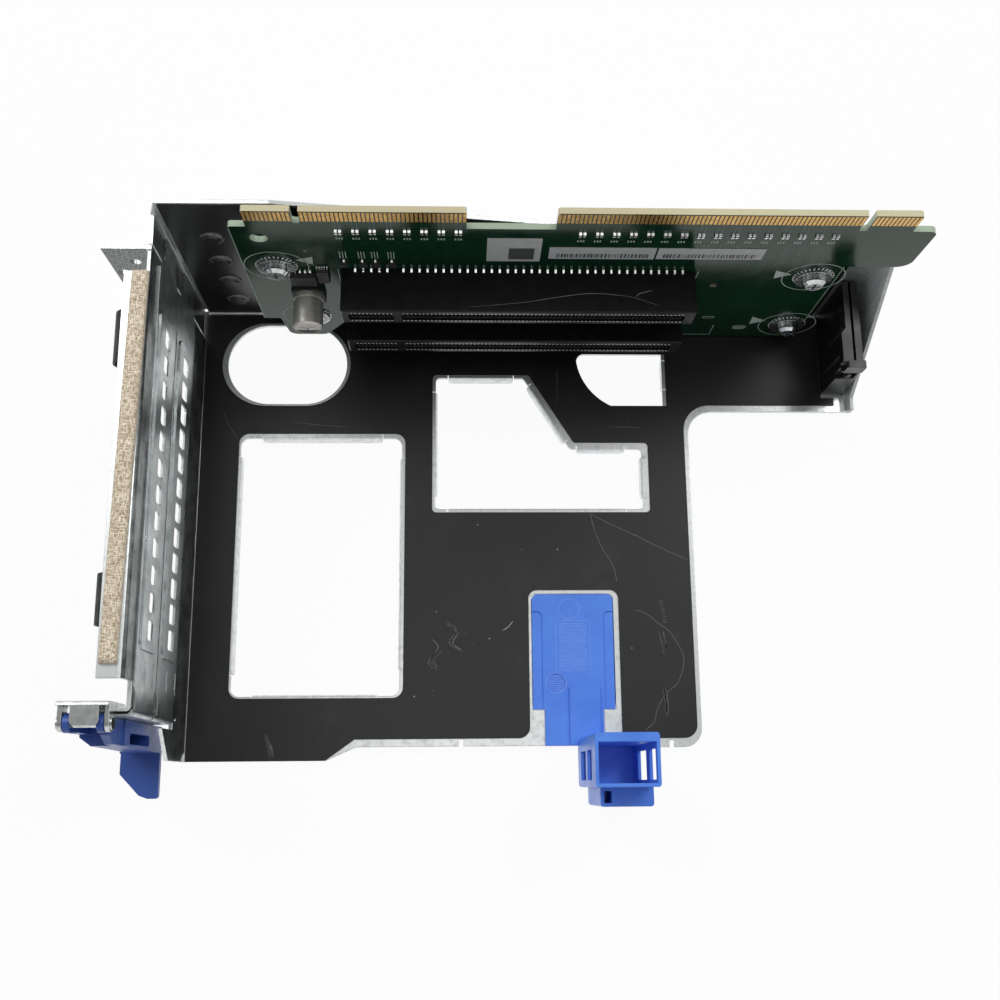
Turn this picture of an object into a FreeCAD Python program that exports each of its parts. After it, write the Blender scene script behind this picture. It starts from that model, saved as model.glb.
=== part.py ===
import FreeCAD, Part
import math
import os

V = FreeCAD.Vector

# Datum of all sizes below, in millimetres: x from the left end of the connectors,
# y from the front face of the board, z from the centre line of the upper connector.
# The origin of the finished part is the middle of its footprint on the ground.
ORIGIN_SHIFT = V(-42.2, 61.5, 44.0)

# Sheet metal and film
SHEET = 1.0
FILM = 0.25
BEND_OUT = 1.4
BEND_IN = 0.4
PLATE_TOP = -41.0
PLATE_LOW = PLATE_TOP - SHEET
FILM_TOP = PLATE_TOP + FILM
STRIP_LOW = -44.0
STRIP_STEP = 0.5
WALL_LEFT = -43.6
WALL_RIGHT = 141.4
WALL_BACK = 7.7
WALL_TOP = 19.6
FLANGE_REACH = 5.0
FLANGE_Y = (-102.3, -8.0)
PLATE_LEFT_FRONT = -118.85
PLATE_MID_FRONT = -115.4
PLATE_RIGHT_FRONT = -116.0
PLATE_RIGHT = 94.2
PLATE_WING_FRONT = -22.65

# Round bumps pressed in the back wall
BUMP_X = -31.6
BUMP_Z = (7.2, -5.6, -17.9, -30.1)
BUMP_R = 3.3
BUMP_TOP_R = 1.9
BUMP_RISE = 1.1

# Board, its edge tabs and the two connectors
BOARD = 1.57
BOARD_LEFT = -24.0
BOARD_RIGHT = 126.0
BOARD_SHOULDER = 26.4
WING_RIGHT = 142.0
WING_LOW = 7.0
TAB_TOP = 33.93
TAB_X8 = (-19.76, 31.14)
TAB_X16 = (51.93, 135.83)
KEY_X8 = -7.8
KEY_X16 = 123.9
KEY_WIDTH = 1.9
CONTACT_PITCH = 1.0
KEY_TO_CONTACT = 1.5
FINGER_WIDTH = 0.7
FINGER_LOW = 29.3
FINGER_PROUD = 0.06
CONNECTOR_LENGTH = 89.0
CONNECTOR_WIDTH = 7.5
CONNECTOR_HEIGHT = 11.25
CONNECTOR_PITCH = 20.32
CONNECTOR_KEY = 14.1
CAN_CENTRE = (-9.55, -9.6)
SHORT_ROW = 11
LONG_ROW_X8 = 38
LONG_ROW_X16 = 71

# Slot fillers
FILLER_SHEET = 0.5
FILLER_WIDTH = 18.7
FILLER_OPENING = 8.0
FILLER_UPPER_MID = 3.15
FILLER_LOWER_MID = -16.6
FILLER_TAB_FRONT = -110.0
FILLER_TAB_REACH = -54.0
VENT_COUNT = 12
VENT_PITCH = 6.47
VENT_FIRST = -18.9

# Gasket, laid a little askew on the flange
GASKET_WIDTH = 4.0
GASKET_BACK = (-46.6, -8.3)
GASKET_FRONT = (-48.1, -99.2)
GASKET_HEIGHT = 1.5

# Fasteners
SCREWS = ((-15.7, 5.2), (-10.6, -26.5), (119.8, 0.65), (121.6, -31.0))
SHANK_R = 1.45
HEAD_R = 3.0
WASHER_R = 4.75
WASHER = 0.8
POST_R = 3.4
SIXTHS = [math.radians(60 * i) for i in range(6)]

# Guide beside the right wall
GUIDE_X = (133.0, 139.4)
GUIDE_TOP = -16.0

# Latch
PIN_Y = -111.5
PIN_Z = 14.7
PIN_R = 1.0
LEVER = (-57.0, -47.0)
ARM_LEFT = (-57.1, -56.1)
ARM_RIGHT = (-46.9, -45.9)

# Pull handle
HANDLE_SLOT = (49.0, 71.4)
HANDLE_NECK = (52.2, 68.2)
HANDLE_CORNER = 1.7
HANDLE_BACK = -74.8
HANDLE_SHOULDER = -106.0
HANDLE_FRONT = -115.4
HANDLE_GAP = 0.15
CUP_X = (61.2, 76.6)
CUP_Y = (-126.1, -113.5)
CUP_RIM = -4.0


def block(x, y, z):
    """Box between the low and high value on each axis."""
    return Part.makeBox(x[1] - x[0], y[1] - y[0], z[1] - z[0], V(x[0], y[0], z[0]))


def prism(corners, direction):
    """Solid drawn from a closed line of corners along one direction."""
    face = Part.Face(Part.makePolygon(corners + [corners[0]]))
    return face.extrude(direction)


def plan(points, z):
    """Outline seen from above, drawn between two heights."""
    return prism([V(a, b, z[0]) for a, b in points], V(0, 0, z[1] - z[0]))


def front(points, y):
    """Outline seen from the front, drawn between two depths."""
    return prism([V(a, y[0], b) for a, b in points], V(0, y[1] - y[0], 0))


def side(points, x):
    """Outline seen from the side, drawn between two x values."""
    return prism([V(x[0], a, b) for a, b in points], V(x[1] - x[0], 0, 0))


def along(edge, axis):
    """True when a straight edge runs along the axis."""
    if not isinstance(edge.Curve, Part.Line):
        return False
    return abs(edge.tangentAt(edge.FirstParameter).dot(axis)) > 0.999


def rounded(solid, radius, axis, keep=None):
    """Round the edges that run along the axis and whose middle passes keep."""
    edges = []
    for edge in solid.Edges:
        if along(edge, axis) and (keep is None or keep(edge.CenterOfMass)):
            edges.append(edge)
    return solid.makeFillet(radius, edges)


X_AXIS = V(1, 0, 0)
Y_AXIS = V(0, 1, 0)
Z_AXIS = V(0, 0, 1)


def near(a, b):
    """True when two lengths are the same within a hair."""
    return abs(a - b) < 0.05


def join(shapes):
    """One solid out of several that meet."""
    return shapes[0].multiFuse(shapes[1:]).removeSplitter()


def group(shapes):
    """Separate solids kept together as one node."""
    return Part.makeCompound(shapes)


def down_strip(start, end):
    """Window edge bent down, its inner face on the line, the opening to the left."""
    length = math.hypot(end[0] - start[0], end[1] - start[1])
    foot = block((0, length), (-2.6, 0), (PLATE_LOW, PLATE_TOP))
    leg = block((0, length), (-SHEET, 0), (STRIP_LOW, PLATE_TOP))
    strip = foot.fuse(leg).removeSplitter()
    strip = rounded(strip, BEND_OUT, X_AXIS, lambda p: near(p.y, 0) and near(p.z, PLATE_TOP))
    strip = rounded(strip, BEND_IN, X_AXIS, lambda p: near(p.y, -SHEET) and near(p.z, PLATE_LOW))
    low = STRIP_LOW
    cut = 0.9
    outline = [(0, PLATE_TOP), (length, PLATE_TOP), (length, low + cut), (length - cut, low)]
    outline += [(cut, low), (0, low + cut)]
    strip = strip.common(front(outline, (-3, 0.1)))
    angle = math.degrees(math.atan2(end[1] - start[1], end[0] - start[0]))
    strip.rotate(V(0, 0, 0), Z_AXIS, angle)
    strip.translate(V(start[0], start[1], 0))
    return strip


def strip_relief(start, end):
    """Thin slots in the plate at both ends of a bent strip."""
    length = math.hypot(end[0] - start[0], end[1] - start[1])
    slots = block((-0.25, 0), (-1.6, 1), (PLATE_LOW - 1, PLATE_TOP + 1))
    slots = slots.fuse(block((length, length + 0.25), (-1.6, 1), (PLATE_LOW - 1, PLATE_TOP + 1)))
    angle = math.degrees(math.atan2(end[1] - start[1], end[0] - start[0]))
    slots.rotate(V(0, 0, 0), Z_AXIS, angle)
    slots.translate(V(start[0], start[1], 0))
    return slots


def stadium(x, y, z):
    """Long hole with round ends, its length along x."""
    r = (y[1] - y[0]) / 2
    mid = (y[0] + y[1]) / 2
    body = block((x[0] + r, x[1] - r), y, z)
    for cx in (x[0] + r, x[1] - r):
        body = body.fuse(Part.makeCylinder(r, z[1] - z[0], V(cx, mid, z[0])))
    return body.removeSplitter()


def window_one(grow, radius, z):
    """Large rectangular window, grown on all sides."""
    x = (-30.7 - grow, 13.0 + grow)
    y = (-101.6 - grow, -31.2 + grow)
    return rounded(block(x, y, z), radius, Z_AXIS)


def window_poly(grow, z, more=0.0):
    """Six-sided window with the slanted upper right corner, wider there by more."""
    points = [(23.4 - grow, -50.6 - grow), (80.25 + grow + more, -50.6 - grow)]
    points += [(80.25 + grow + more, -34.2 + grow + more)]
    points += [(60.3 + 0.6 * grow + 0.55 * more, -34.2 + grow + more)]
    points += [(47.4 + 0.6 * grow + 1.15 * more, -13.4 + grow), (23.4 - grow, -13.4 + grow)]
    return rounded(plan(points, z), 1.2, Z_AXIS)


def window_round(grow, z):
    """Window with the large rounded lower left corner."""
    right = 87.4 + grow
    a = V(63.0, -8.0, z[0])
    low = V(72.5, -21.0, z[0])
    lines = [Part.makeLine(V(65.0, -5.5, z[0]), V(right, -5.5, z[0]))]
    lines.append(Part.makeLine(V(right, -5.5, z[0]), V(right, -21.0, z[0])))
    lines.append(Part.makeLine(V(right, -21.0, z[0]), low))
    lines.append(Part.Arc(low, V(67.3, -17.1, z[0]), a).toShape())
    lines.append(Part.Arc(a, V(63.6, -6.2, z[0]), V(65.0, -5.5, z[0])).toShape())
    return Part.Face(Part.Wire(lines)).extrude(V(0, 0, z[1] - z[0]))


STRIPS = (
    ((8.0, -31.2), (-25.2, -31.2)),
    ((-30.7, -36.1), (-30.7, -96.2)),
    ((-25.5, -101.6), (7.5, -101.6)),
    ((13.0, -95.1), (13.0, -36.7)),
    ((44.8, -13.4), (26.5, -13.4)),
    ((23.4, -17.2), (23.4, -47.0)),
    ((26.4, -50.6), (75.9, -50.6)),
    ((80.25, -47.7), (80.25, -36.2)),
    ((75.9, -34.2), (62.6, -34.2)),
    ((58.8, -31.8), (48.7, -15.5)),
    ((87.4, -16.0), (87.4, -7.5)),
)


def plate_outline():
    """Base plate outline from above, square corners."""
    points = [(-41.0, 5.0), (-41.0, PLATE_LEFT_FRONT), (-5.6, PLATE_LEFT_FRONT)]
    points += [(2.3, PLATE_MID_FRONT), (HANDLE_NECK[0], PLATE_MID_FRONT)]
    points += [(HANDLE_NECK[0], HANDLE_SHOULDER), (HANDLE_SLOT[0], HANDLE_SHOULDER)]
    points += [(HANDLE_SLOT[0], HANDLE_BACK), (HANDLE_SLOT[1], HANDLE_BACK)]
    points += [(HANDLE_SLOT[1], HANDLE_SHOULDER), (HANDLE_NECK[1], HANDLE_SHOULDER)]
    points += [(HANDLE_NECK[1], -112.9), (77.4, -112.9), (77.4, PLATE_RIGHT_FRONT)]
    points += [(PLATE_RIGHT, PLATE_RIGHT_FRONT), (PLATE_RIGHT, PLATE_WING_FRONT)]
    points += [(139.0, PLATE_WING_FRONT), (139.0, 5.0)]
    return points


def base_plate():
    """Flat floor of the cage with its windows and bent strips."""
    plate = plan(plate_outline(), (PLATE_LOW, PLATE_TOP))
    plate = rounded(plate, 5.0, Z_AXIS, lambda p: near(p.x, PLATE_RIGHT) and p.y < -100)
    plate = rounded(plate, 7.0, Z_AXIS, lambda p: near(p.x, PLATE_RIGHT) and p.y > -30)
    plate = rounded(plate, HANDLE_CORNER, Z_AXIS, lambda p: near(p.y, HANDLE_BACK))
    through = (PLATE_LOW - 1, PLATE_TOP + 1)
    holes = [stadium((-35.8, -2.3), (-20.7, 2.75), through)]
    holes.append(window_one(STRIP_STEP, 2.3, through))
    holes.append(window_poly(STRIP_STEP, through))
    holes.append(window_round(0, through))
    holes.append(block((29.3, 30.6), (PLATE_MID_FRONT - 1, -113.6), through))
    holes.append(block((85.3, 86.6), (PLATE_RIGHT_FRONT - 1, -114.2), through))
    plate = plate.cut(holes)
    plate = join([plate] + [down_strip(a, b) for a, b in STRIPS])
    return plate.cut([strip_relief(a, b) for a, b in STRIPS])


def end_wall():
    """Card end wall with its slot openings, outward flange, shelf and rear tab."""
    inner = WALL_LEFT + SHEET
    wall = block((WALL_LEFT, inner), (PLATE_LEFT_FRONT, -1.5), (PLATE_LOW, WALL_TOP))
    wall = wall.fuse(block((WALL_LEFT, inner + 2.6), (PLATE_LEFT_FRONT, -1.5), (PLATE_LOW, PLATE_TOP)))
    flange = block((WALL_LEFT - FLANGE_REACH, inner), (FLANGE_Y[0], -1.5), (WALL_TOP - SHEET, WALL_TOP))
    wall = wall.fuse(flange).removeSplitter()
    wall = rounded(wall, BEND_OUT, Y_AXIS, lambda p: near(p.x, WALL_LEFT) and near(p.z, PLATE_LOW))
    wall = rounded(wall, BEND_IN, Y_AXIS, lambda p: near(p.x, inner) and near(p.z, PLATE_TOP))
    wall = rounded(wall, BEND_OUT, Y_AXIS, lambda p: near(p.x, inner) and near(p.z, WALL_TOP))
    span = (WALL_LEFT - 7, inner + 3)
    wall = wall.cut(block(span, (FLANGE_Y[1], 0), (WALL_TOP - 0.6, WALL_TOP + 5)))
    wall = wall.cut(block((span[0], WALL_LEFT), (FLANGE_Y[1], 0), (WALL_TOP - 5, WALL_TOP + 5)))
    wall = wall.cut(block(span, (-125, FLANGE_Y[0]), (12.5, WALL_TOP + 5)))
    wall = wall.cut(block(span, (-111.2, -108.9), (-27.2, WALL_TOP + 5)))
    wall = wall.cut(block(span, (-125, -111.2), (-15.3, WALL_TOP + 5)))
    slope = [(-110.3, -15.3), (-119.4, -24.8), (-119.4, -14.0), (-110.3, -14.0)]
    wall = wall.cut(side(slope, span))
    toe = [(-116.5, PLATE_TOP), (-119.4, PLATE_TOP + 4.5), (-119.4, PLATE_TOP)]
    wall = wall.cut(side(toe, (WALL_LEFT - 0.4, inner + 0.6)))
    for mid in (FILLER_UPPER_MID, FILLER_LOWER_MID):
        z = (mid - FILLER_OPENING, mid + FILLER_OPENING)
        wall = wall.cut(rounded(block((WALL_LEFT - 1, inner + 1), (-102.5, -8.0), z), 2.0, X_AXIS))
    shelf = block((WALL_LEFT - 11.4, inner), (-108.9, -107.9), (-26.2, 12.5))
    shelf = rounded(shelf, 2.0, Y_AXIS, lambda p: near(p.x, WALL_LEFT - 11.4))
    tab = block((WALL_LEFT - 10.9, inner), (-2.5, -1.5), (-12.0, WALL_TOP))
    for x, z in ((WALL_LEFT - 4.5, 12.4), (WALL_LEFT - 8.8, 6.65)):
        tab = tab.cut(Part.makeCylinder(1.3, 4, V(x, -4, z), Y_AXIS))
    corner = block((WALL_LEFT, inner), (-108.9, -107.9), (-30.0, 13.0))
    corner = corner.cut(Part.makeCylinder(SHEET, 50, V(WALL_LEFT, -107.9, -32), Z_AXIS))
    return join([wall, shelf, tab]).cut(corner)


def bump(z, base_y, foot_r, top_r, rise):
    """Blunt round bump pressed forward out of the back wall."""
    return Part.makeCone(foot_r, top_r, rise, V(BUMP_X, base_y, z), V(0, -1, 0))


def back_wall():
    """Tall wall behind the board, with its sloping top and round bumps."""
    left = WALL_LEFT + 1.6
    right = WALL_RIGHT - SHEET
    outline = [(left, PLATE_LOW), (right, PLATE_LOW), (right, 2.6), (-15.0, 24.6)]
    outline += [(left + 0.3, 24.6), (WALL_LEFT, WALL_TOP - 0.6), (WALL_LEFT, -38.5), (left, -38.5)]
    wall = front(outline, (WALL_BACK - SHEET, WALL_BACK))
    wall = wall.fuse(block((left, right), (4.0, WALL_BACK), (PLATE_LOW, PLATE_TOP)))
    wall = wall.removeSplitter()
    wall = rounded(wall, BEND_OUT, X_AXIS, lambda p: near(p.y, WALL_BACK) and near(p.z, PLATE_LOW))
    inner = WALL_BACK - SHEET
    wall = rounded(wall, BEND_IN, X_AXIS, lambda p: near(p.y, inner) and near(p.z, PLATE_TOP))
    rim = block((WALL_LEFT, WALL_LEFT + SHEET), (-0.9, WALL_BACK), (-38.5, WALL_TOP - 0.6))
    wall = wall.fuse(rim).removeSplitter()
    for z in BUMP_Z:
        wall = wall.fuse(bump(z, inner, BUMP_R, BUMP_TOP_R, BUMP_RISE))
        wall = wall.cut(bump(z, WALL_BACK, BUMP_R - 0.3, BUMP_TOP_R - 0.4, BUMP_RISE))
    return wall


def right_wall():
    """Low side wall at the far end, its top edge sloping to the front."""
    inner = WALL_RIGHT - SHEET
    wall = block((inner, WALL_RIGHT), (PLATE_WING_FRONT, WALL_BACK), (PLATE_LOW, 6.0))
    wall = wall.fuse(block((inner - 2.4, WALL_RIGHT), (PLATE_WING_FRONT, 6.2), (PLATE_LOW, PLATE_TOP)))
    wall = wall.removeSplitter()
    wall = rounded(wall, BEND_OUT, Y_AXIS, lambda p: near(p.x, WALL_RIGHT) and near(p.z, PLATE_LOW))
    wall = rounded(wall, BEND_IN, Y_AXIS, lambda p: near(p.x, inner) and near(p.z, PLATE_TOP))
    foot = block((inner - 2.4, inner), (PLATE_WING_FRONT, -17.7), (PLATE_TOP, PLATE_TOP + 2.4))
    foot = foot.cut(Part.makeCylinder(2.4, 6, V(inner - 2.4, -23, PLATE_TOP + 2.4), Y_AXIS))
    wall = wall.fuse(foot)
    slope = [(-23.0, -38.6), (-19.2, -38.6), (6.3, 4.6), (8.0, 4.6), (8.0, 7.0), (-23.0, 7.0)]
    wall = wall.cut(side(slope, (inner - 4, WALL_RIGHT + 2)))
    return wall.cut(block((inner - 4, WALL_RIGHT + 1), (6.2, 8.0), (PLATE_LOW - 1, -38.5))).removeSplitter()


def cage_sheet():
    """The whole folded sheet."""
    return join([base_plate(), end_wall(), back_wall(), right_wall()])


def base_film():
    """Insulating film on the floor, cut round the windows and the pull handle."""
    z = (PLATE_TOP, FILM_TOP)
    left = WALL_LEFT + SHEET + BEND_IN
    points = [(left, 5.9), (left, -118.8), (-5.7, -118.8), (1.9, -113.4), (48.3, -113.4)]
    points += [(48.3, -73.8), (72.8, -73.8), (72.8, -112.6), (77.8, -112.6), (77.8, -113.6)]
    points += [(93.0, -113.6), (93.0, -20.8), (136.5, -20.8), (136.5, -18.6)]
    points += [(GUIDE_X[0] - 0.1, -18.6), (GUIDE_X[0] - 0.1, 5.9)]
    film = plan(points, z)
    film = rounded(film, 3.5, Z_AXIS, lambda p: near(p.x, 93.0) and p.y < -100)
    film = rounded(film, 7.5, Z_AXIS, lambda p: near(p.x, 93.0) and p.y > -30)
    film = rounded(film, 3.0, Z_AXIS, lambda p: near(p.x, 48.3) and p.y < -100)
    film = rounded(film, 2.3, Z_AXIS, lambda p: near(p.y, -73.8))
    through = (PLATE_TOP - 1, FILM_TOP + 1)
    holes = [stadium((-37.4, -1.3), (-21.25, 3.45), through)]
    holes.append(rounded(block((-31.7, 14.45), (-102.6, -29.4), through), 2.8, Z_AXIS))
    holes.append(window_poly(1.4, through, 0.9))
    holes.append(window_round(1.0, through))
    return film.cut(holes)


def back_film():
    """Insulating film on the back wall, following the round bumps."""
    face = WALL_BACK - SHEET
    outline = [(-41.6, -40.2), (132.0, -40.2), (132.0, 3.0), (-15.0, 23.9), (-41.0, 23.9)]
    film = front(outline, (face - FILM, face))
    for z in BUMP_Z:
        film = film.fuse(bump(z, face, BUMP_R + 0.2, BUMP_TOP_R + 0.1, BUMP_RISE + FILM))
        film = film.cut(bump(z, face, BUMP_R, BUMP_TOP_R, BUMP_RISE))
    for x, z in SCREWS:
        film = film.cut(Part.makeCylinder(4.0, 4, V(x, face - 2, z), Y_AXIS))
    return film


def filler(mid, vent_z, vent_y, slot_rows):
    """Perforated slot filler with its front tab bent outward."""
    inner = WALL_LEFT + SHEET
    face = inner + FILLER_SHEET
    half = FILLER_WIDTH / 2
    z = (mid - half, mid + half)
    tab_back = FILLER_TAB_FRONT + FILLER_SHEET
    plate = block((inner, face), (FILLER_TAB_FRONT, 5.5), z)
    tab = block((FILLER_TAB_REACH, face), (FILLER_TAB_FRONT, tab_back), z)
    bent = plate.fuse(tab).removeSplitter()
    bend = 0.9 + FILLER_SHEET
    bent = rounded(bent, bend, Z_AXIS, lambda p: near(p.x, face) and near(p.y, FILLER_TAB_FRONT))
    bent = rounded(bent, 0.9, Z_AXIS, lambda p: near(p.x, inner) and near(p.y, tab_back))
    for sign in (1, -1):
        edge = mid + sign * half
        tongue = mid + sign * 5.1
        waste = side([(0.0, tongue), (-3.5, edge), (-3.5, edge + sign), (6, edge + sign), (6, tongue)],
                     (inner - 1, inner + 2))
        bent = bent.cut(waste)
        waist = edge - sign * 1.6
        waste = side([(-103, edge), (-105, waist), (-108.6, waist), (-108.6, edge + sign),
                      (-103, edge + sign)], (inner - 2, inner + 2))
        bent = bent.cut(waste)
    notch = block((-56, -50), (-112, -107), (mid - 2.2, mid + 2.2))
    bent = bent.cut(rounded(notch, 2.1, Y_AXIS, lambda p: p.x > -51))
    panel_z = (mid - half + 2.6, mid + half - 2.2)
    panel = block((face - 0.1, face + 0.4), (-95.0, -13.5), panel_z)
    panel = rounded(panel, 2.0, X_AXIS)
    recess = block((inner - 1, inner + 0.4), (-94.5, -14.0), (panel_z[0] + 0.5, panel_z[1] - 0.5))
    bent = bent.fuse(panel).cut(rounded(recess, 1.6, X_AXIS))
    vents = []
    for i in range(VENT_COUNT):
        y = VENT_FIRST - i * VENT_PITCH
        vent = block((inner - 1, inner + 3), (y - vent_y / 2, y + vent_y / 2),
                     (mid - vent_z / 2, mid + vent_z / 2))
        vents.append(vent.makeChamfer(0.6, [e for e in vent.Edges if along(e, X_AXIS)]))
    for z in slot_rows:
        vents.append(block((inner - 1, inner + 3), (-102.7, -97.2), (z - 0.6, z + 0.6)))
    return bent.cut(vents).removeSplitter()


def emi_gasket():
    """Soft conductive strip on the outward flange."""
    points = [GASKET_BACK, (GASKET_BACK[0] + GASKET_WIDTH, GASKET_BACK[1])]
    points += [(GASKET_FRONT[0] + GASKET_WIDTH, GASKET_FRONT[1]), GASKET_FRONT]
    top = WALL_TOP + GASKET_HEIGHT
    strip = plan(points, (WALL_TOP, top))
    return rounded(strip, 0.7, Y_AXIS, lambda p: near(p.z, top))


def spring_hooks():
    """Two curved springs under the outward flange."""
    hooks = []
    for y in ((-29.5, -17.0), (-90.4, -79.0)):
        ring = Part.makeCylinder(4.1, y[1] - y[0], V(-47.0, y[0], 14.5), Y_AXIS)
        ring = ring.cut(Part.makeCylinder(3.5, y[1] - y[0], V(-47.0, y[0], 14.5), Y_AXIS))
        ring = ring.cut(block((-47.0, -40.0), (y[0] - 1, y[1] + 1), (8, 20)))
        leg = block((-47.0, WALL_LEFT), y, (10.4, 11.0))
        hooks.append(ring.fuse(leg).removeSplitter())
    return group(hooks)


def riser_board():
    """Circuit board with two edge tabs, key notches and the right wing."""
    points = [(BOARD_LEFT, -28.3), (-19.5, -28.3), (-18.2, -40.1), (-8.0, -40.1), (-2.3, -31.0)]
    points += [(86.0, -31.0), (89.0, -34.0), (89.0, -40.2), (BOARD_RIGHT, -40.2)]
    points += [(BOARD_RIGHT, WING_LOW), (WING_RIGHT, WING_LOW), (WING_RIGHT, BOARD_SHOULDER)]
    points += [(TAB_X16[1], BOARD_SHOULDER), (TAB_X16[1], TAB_TOP), (TAB_X16[0], TAB_TOP)]
    points += [(TAB_X16[0], 26.1), (TAB_X8[1], 26.1), (TAB_X8[1], TAB_TOP), (TAB_X8[0], TAB_TOP)]
    points += [(TAB_X8[0], BOARD_SHOULDER), (BOARD_LEFT, BOARD_SHOULDER)]
    board = front(points, (0, BOARD))
    board = rounded(board, 2.5, Y_AXIS, lambda p: near(p.z, -40.1) and p.x < 0)
    wing_round = min(3.5, abs(WING_RIGHT - BOARD_RIGHT) / 2)
    board = rounded(board, wing_round, Y_AXIS, lambda p: near(p.x, WING_RIGHT) and near(p.z, WING_LOW))
    board = rounded(board, 2.0, Y_AXIS, lambda p: near(p.x, WING_RIGHT) and p.z > 20)
    board = rounded(board, 0.7, Y_AXIS, lambda p: near(p.z, TAB_TOP))
    board = rounded(board, 1.0, Y_AXIS, lambda p: near(p.x, BOARD_LEFT))
    for x, low in ((KEY_X8, 28.3), (KEY_X16, 26.35)):
        notch = block((x - KEY_WIDTH / 2, x + KEY_WIDTH / 2), (-1, 3), (low, 35))
        board = board.cut(rounded(notch, 0.9, Y_AXIS, lambda p: p.z < 30))
    for x, z, r in ((-17.64, 20.56, 2.15), (-7.6, 13.8, 0.5)):
        board = board.cut(Part.makeCylinder(r, 4, V(x, -1, z), Y_AXIS))
    slot = rounded(block((106.6, 110.6), (-1, 3), (-34.7, -31.7)), 1.4, Y_AXIS)
    board = board.cut(slot)
    for x, z in SCREWS:
        board = board.cut(Part.makeCylinder(1.7, 4, V(x, -1, z), Y_AXIS))
    return board


def finger_row(key_x, step, long_row, y):
    """Gold contact pads of one edge tab; step is the direction of the short row."""
    pads = []
    places = [key_x + step * (KEY_TO_CONTACT + i * CONTACT_PITCH) for i in range(SHORT_ROW)]
    places += [key_x - step * (KEY_TO_CONTACT + i * CONTACT_PITCH) for i in range(long_row)]
    for x in places:
        pads.append(block((x - FINGER_WIDTH / 2, x + FINGER_WIDTH / 2), y, (FINGER_LOW, TAB_TOP - 0.4)))
    return pads


def edge_contacts(y):
    """Pads of both tabs on one face."""
    return group(finger_row(KEY_X8, -1, LONG_ROW_X8, y) + finger_row(KEY_X16, 1, LONG_ROW_X16, y))


def contact_places():
    """Contact positions of one connector along x."""
    places = [CONNECTOR_KEY - KEY_TO_CONTACT - i * CONTACT_PITCH for i in range(SHORT_ROW)]
    return places + [CONNECTOR_KEY + KEY_TO_CONTACT + i * CONTACT_PITCH for i in range(LONG_ROW_X16)]


def connector_housing(z):
    """Card connector body with the slot, the key rib and the contact chambers."""
    half = CONNECTOR_WIDTH / 2
    body = block((0, CONNECTOR_LENGTH), (-CONNECTOR_HEIGHT, 0), (z - half, z + half))
    body = body.makeChamfer(0.35, [e for e in body.Edges if near(e.CenterOfMass.y, -CONNECTOR_HEIGHT)])
    places = contact_places()
    short = (places[SHORT_ROW - 1] - 0.75, CONNECTOR_KEY - 0.95)
    long = (CONNECTOR_KEY + 0.95, places[-1] + 0.75)
    for x in (short, long):
        body = body.cut(block(x, (-12, -2.9), (z - 0.9, z + 0.9)))
        body = body.cut(block((x[0] + 0.15, x[1] - 0.15), (-12, -2.9), (z - 1.9, z + 1.9)))
    for x in ((-1, 1.2), (CONNECTOR_LENGTH - 1.2, CONNECTOR_LENGTH + 1)):
        body = body.cut(block(x, (-8.6, -1.2), (z + half - 0.6, z + half + 1)))
    return body.removeSplitter()


def contacts(z):
    """Two rows of springy contacts in the chambers."""
    springs = []
    for x in contact_places():
        for sign in (1, -1):
            foot = (-2.9, z + sign * 1.8)
            tip = (-10.7, z + sign * 1.7)
            springs.append(side([foot, (-9.0, z + sign * 0.95), tip], (x - 0.3, x + 0.3)))
    return group(springs)


def capacitor_base():
    """Square base of the can capacitor."""
    x, z = CAN_CENTRE
    base = block((x - 4.15, x + 4.15), (-1.6, 0), (z - 4.15, z + 4.15))
    corners = [e for e in base.Edges if along(e, Y_AXIS) and e.CenterOfMass.z > z]
    return base.makeChamfer(1.4, corners)


def capacitor_can():
    """Round can with a rolled groove and a rounded end."""
    axis = V(CAN_CENTRE[0], -1.6, CAN_CENTRE[1])
    can = Part.makeCylinder(3.85, 8.9, axis, V(0, -1, 0))
    can = can.makeChamfer(0.4, [e for e in can.Edges if near(e.CenterOfMass.y, -10.5)])
    start = axis + V(0, -1.2, 0)
    groove = Part.makeCylinder(4.2, 0.7, start, V(0, -1, 0))
    return can.cut(groove.cut(Part.makeCylinder(3.45, 0.7, start, V(0, -1, 0))))


def control_chips():
    """Two small packages above the capacitor, with their leads."""
    solids = [block((-12.9, -6.5), (-1.6, -0.1), (-3.4, 1.6)), block((-6.1, -3.2), (-1.2, -0.1), (-2.4, 3.9))]
    for i in range(5):
        x = -5.9 + i * 0.63
        solids.append(block((x - 0.13, x + 0.13), (-0.5, 0), (3.9, 4.8)))
        solids.append(block((x - 0.13, x + 0.13), (-0.5, 0), (-3.3, -2.4)))
    for i in range(4):
        x = -11.6 + i * 1.27
        solids.append(block((x - 0.2, x + 0.2), (-0.5, 0), (1.6, 2.3)))
        solids.append(block((x - 0.2, x + 0.2), (-0.5, 0), (-4.3, -3.4)))
    return group(solids)


def chip_capacitors():
    """Pairs of small parts in two rows, and one on its own."""
    parts = []
    places = [(1.27 + 4 * i, 24.5) for i in range(8)] + [(58.33 + 4 * i, 24.0) for i in range(16)]
    for x, z in places:
        for shift in (-0.5, 0.5):
            parts.append(block((x + shift - 0.27, x + shift + 0.27), (-0.5, 0), (z - 0.55, z + 0.55)))
    parts.append(block((94.2, 95.8), (-0.6, 0), (-4.3, -3.5)))
    return group(parts)


def transistors():
    """Four three-lead packages."""
    solids = []
    for x in (1.2, 5.7, 8.9, 12.9):
        solids.append(block((x - 1.0, x + 1.0), (-1.0, 0), (6.6, 7.9)))
        solids.append(block((x - 0.2, x + 0.2), (-0.4, 0), (7.9, 8.6)))
        for shift in (-0.7, 0.7):
            solids.append(block((x + shift - 0.2, x + shift + 0.2), (-0.4, 0), (5.9, 6.6)))
    return group(solids)


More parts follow.
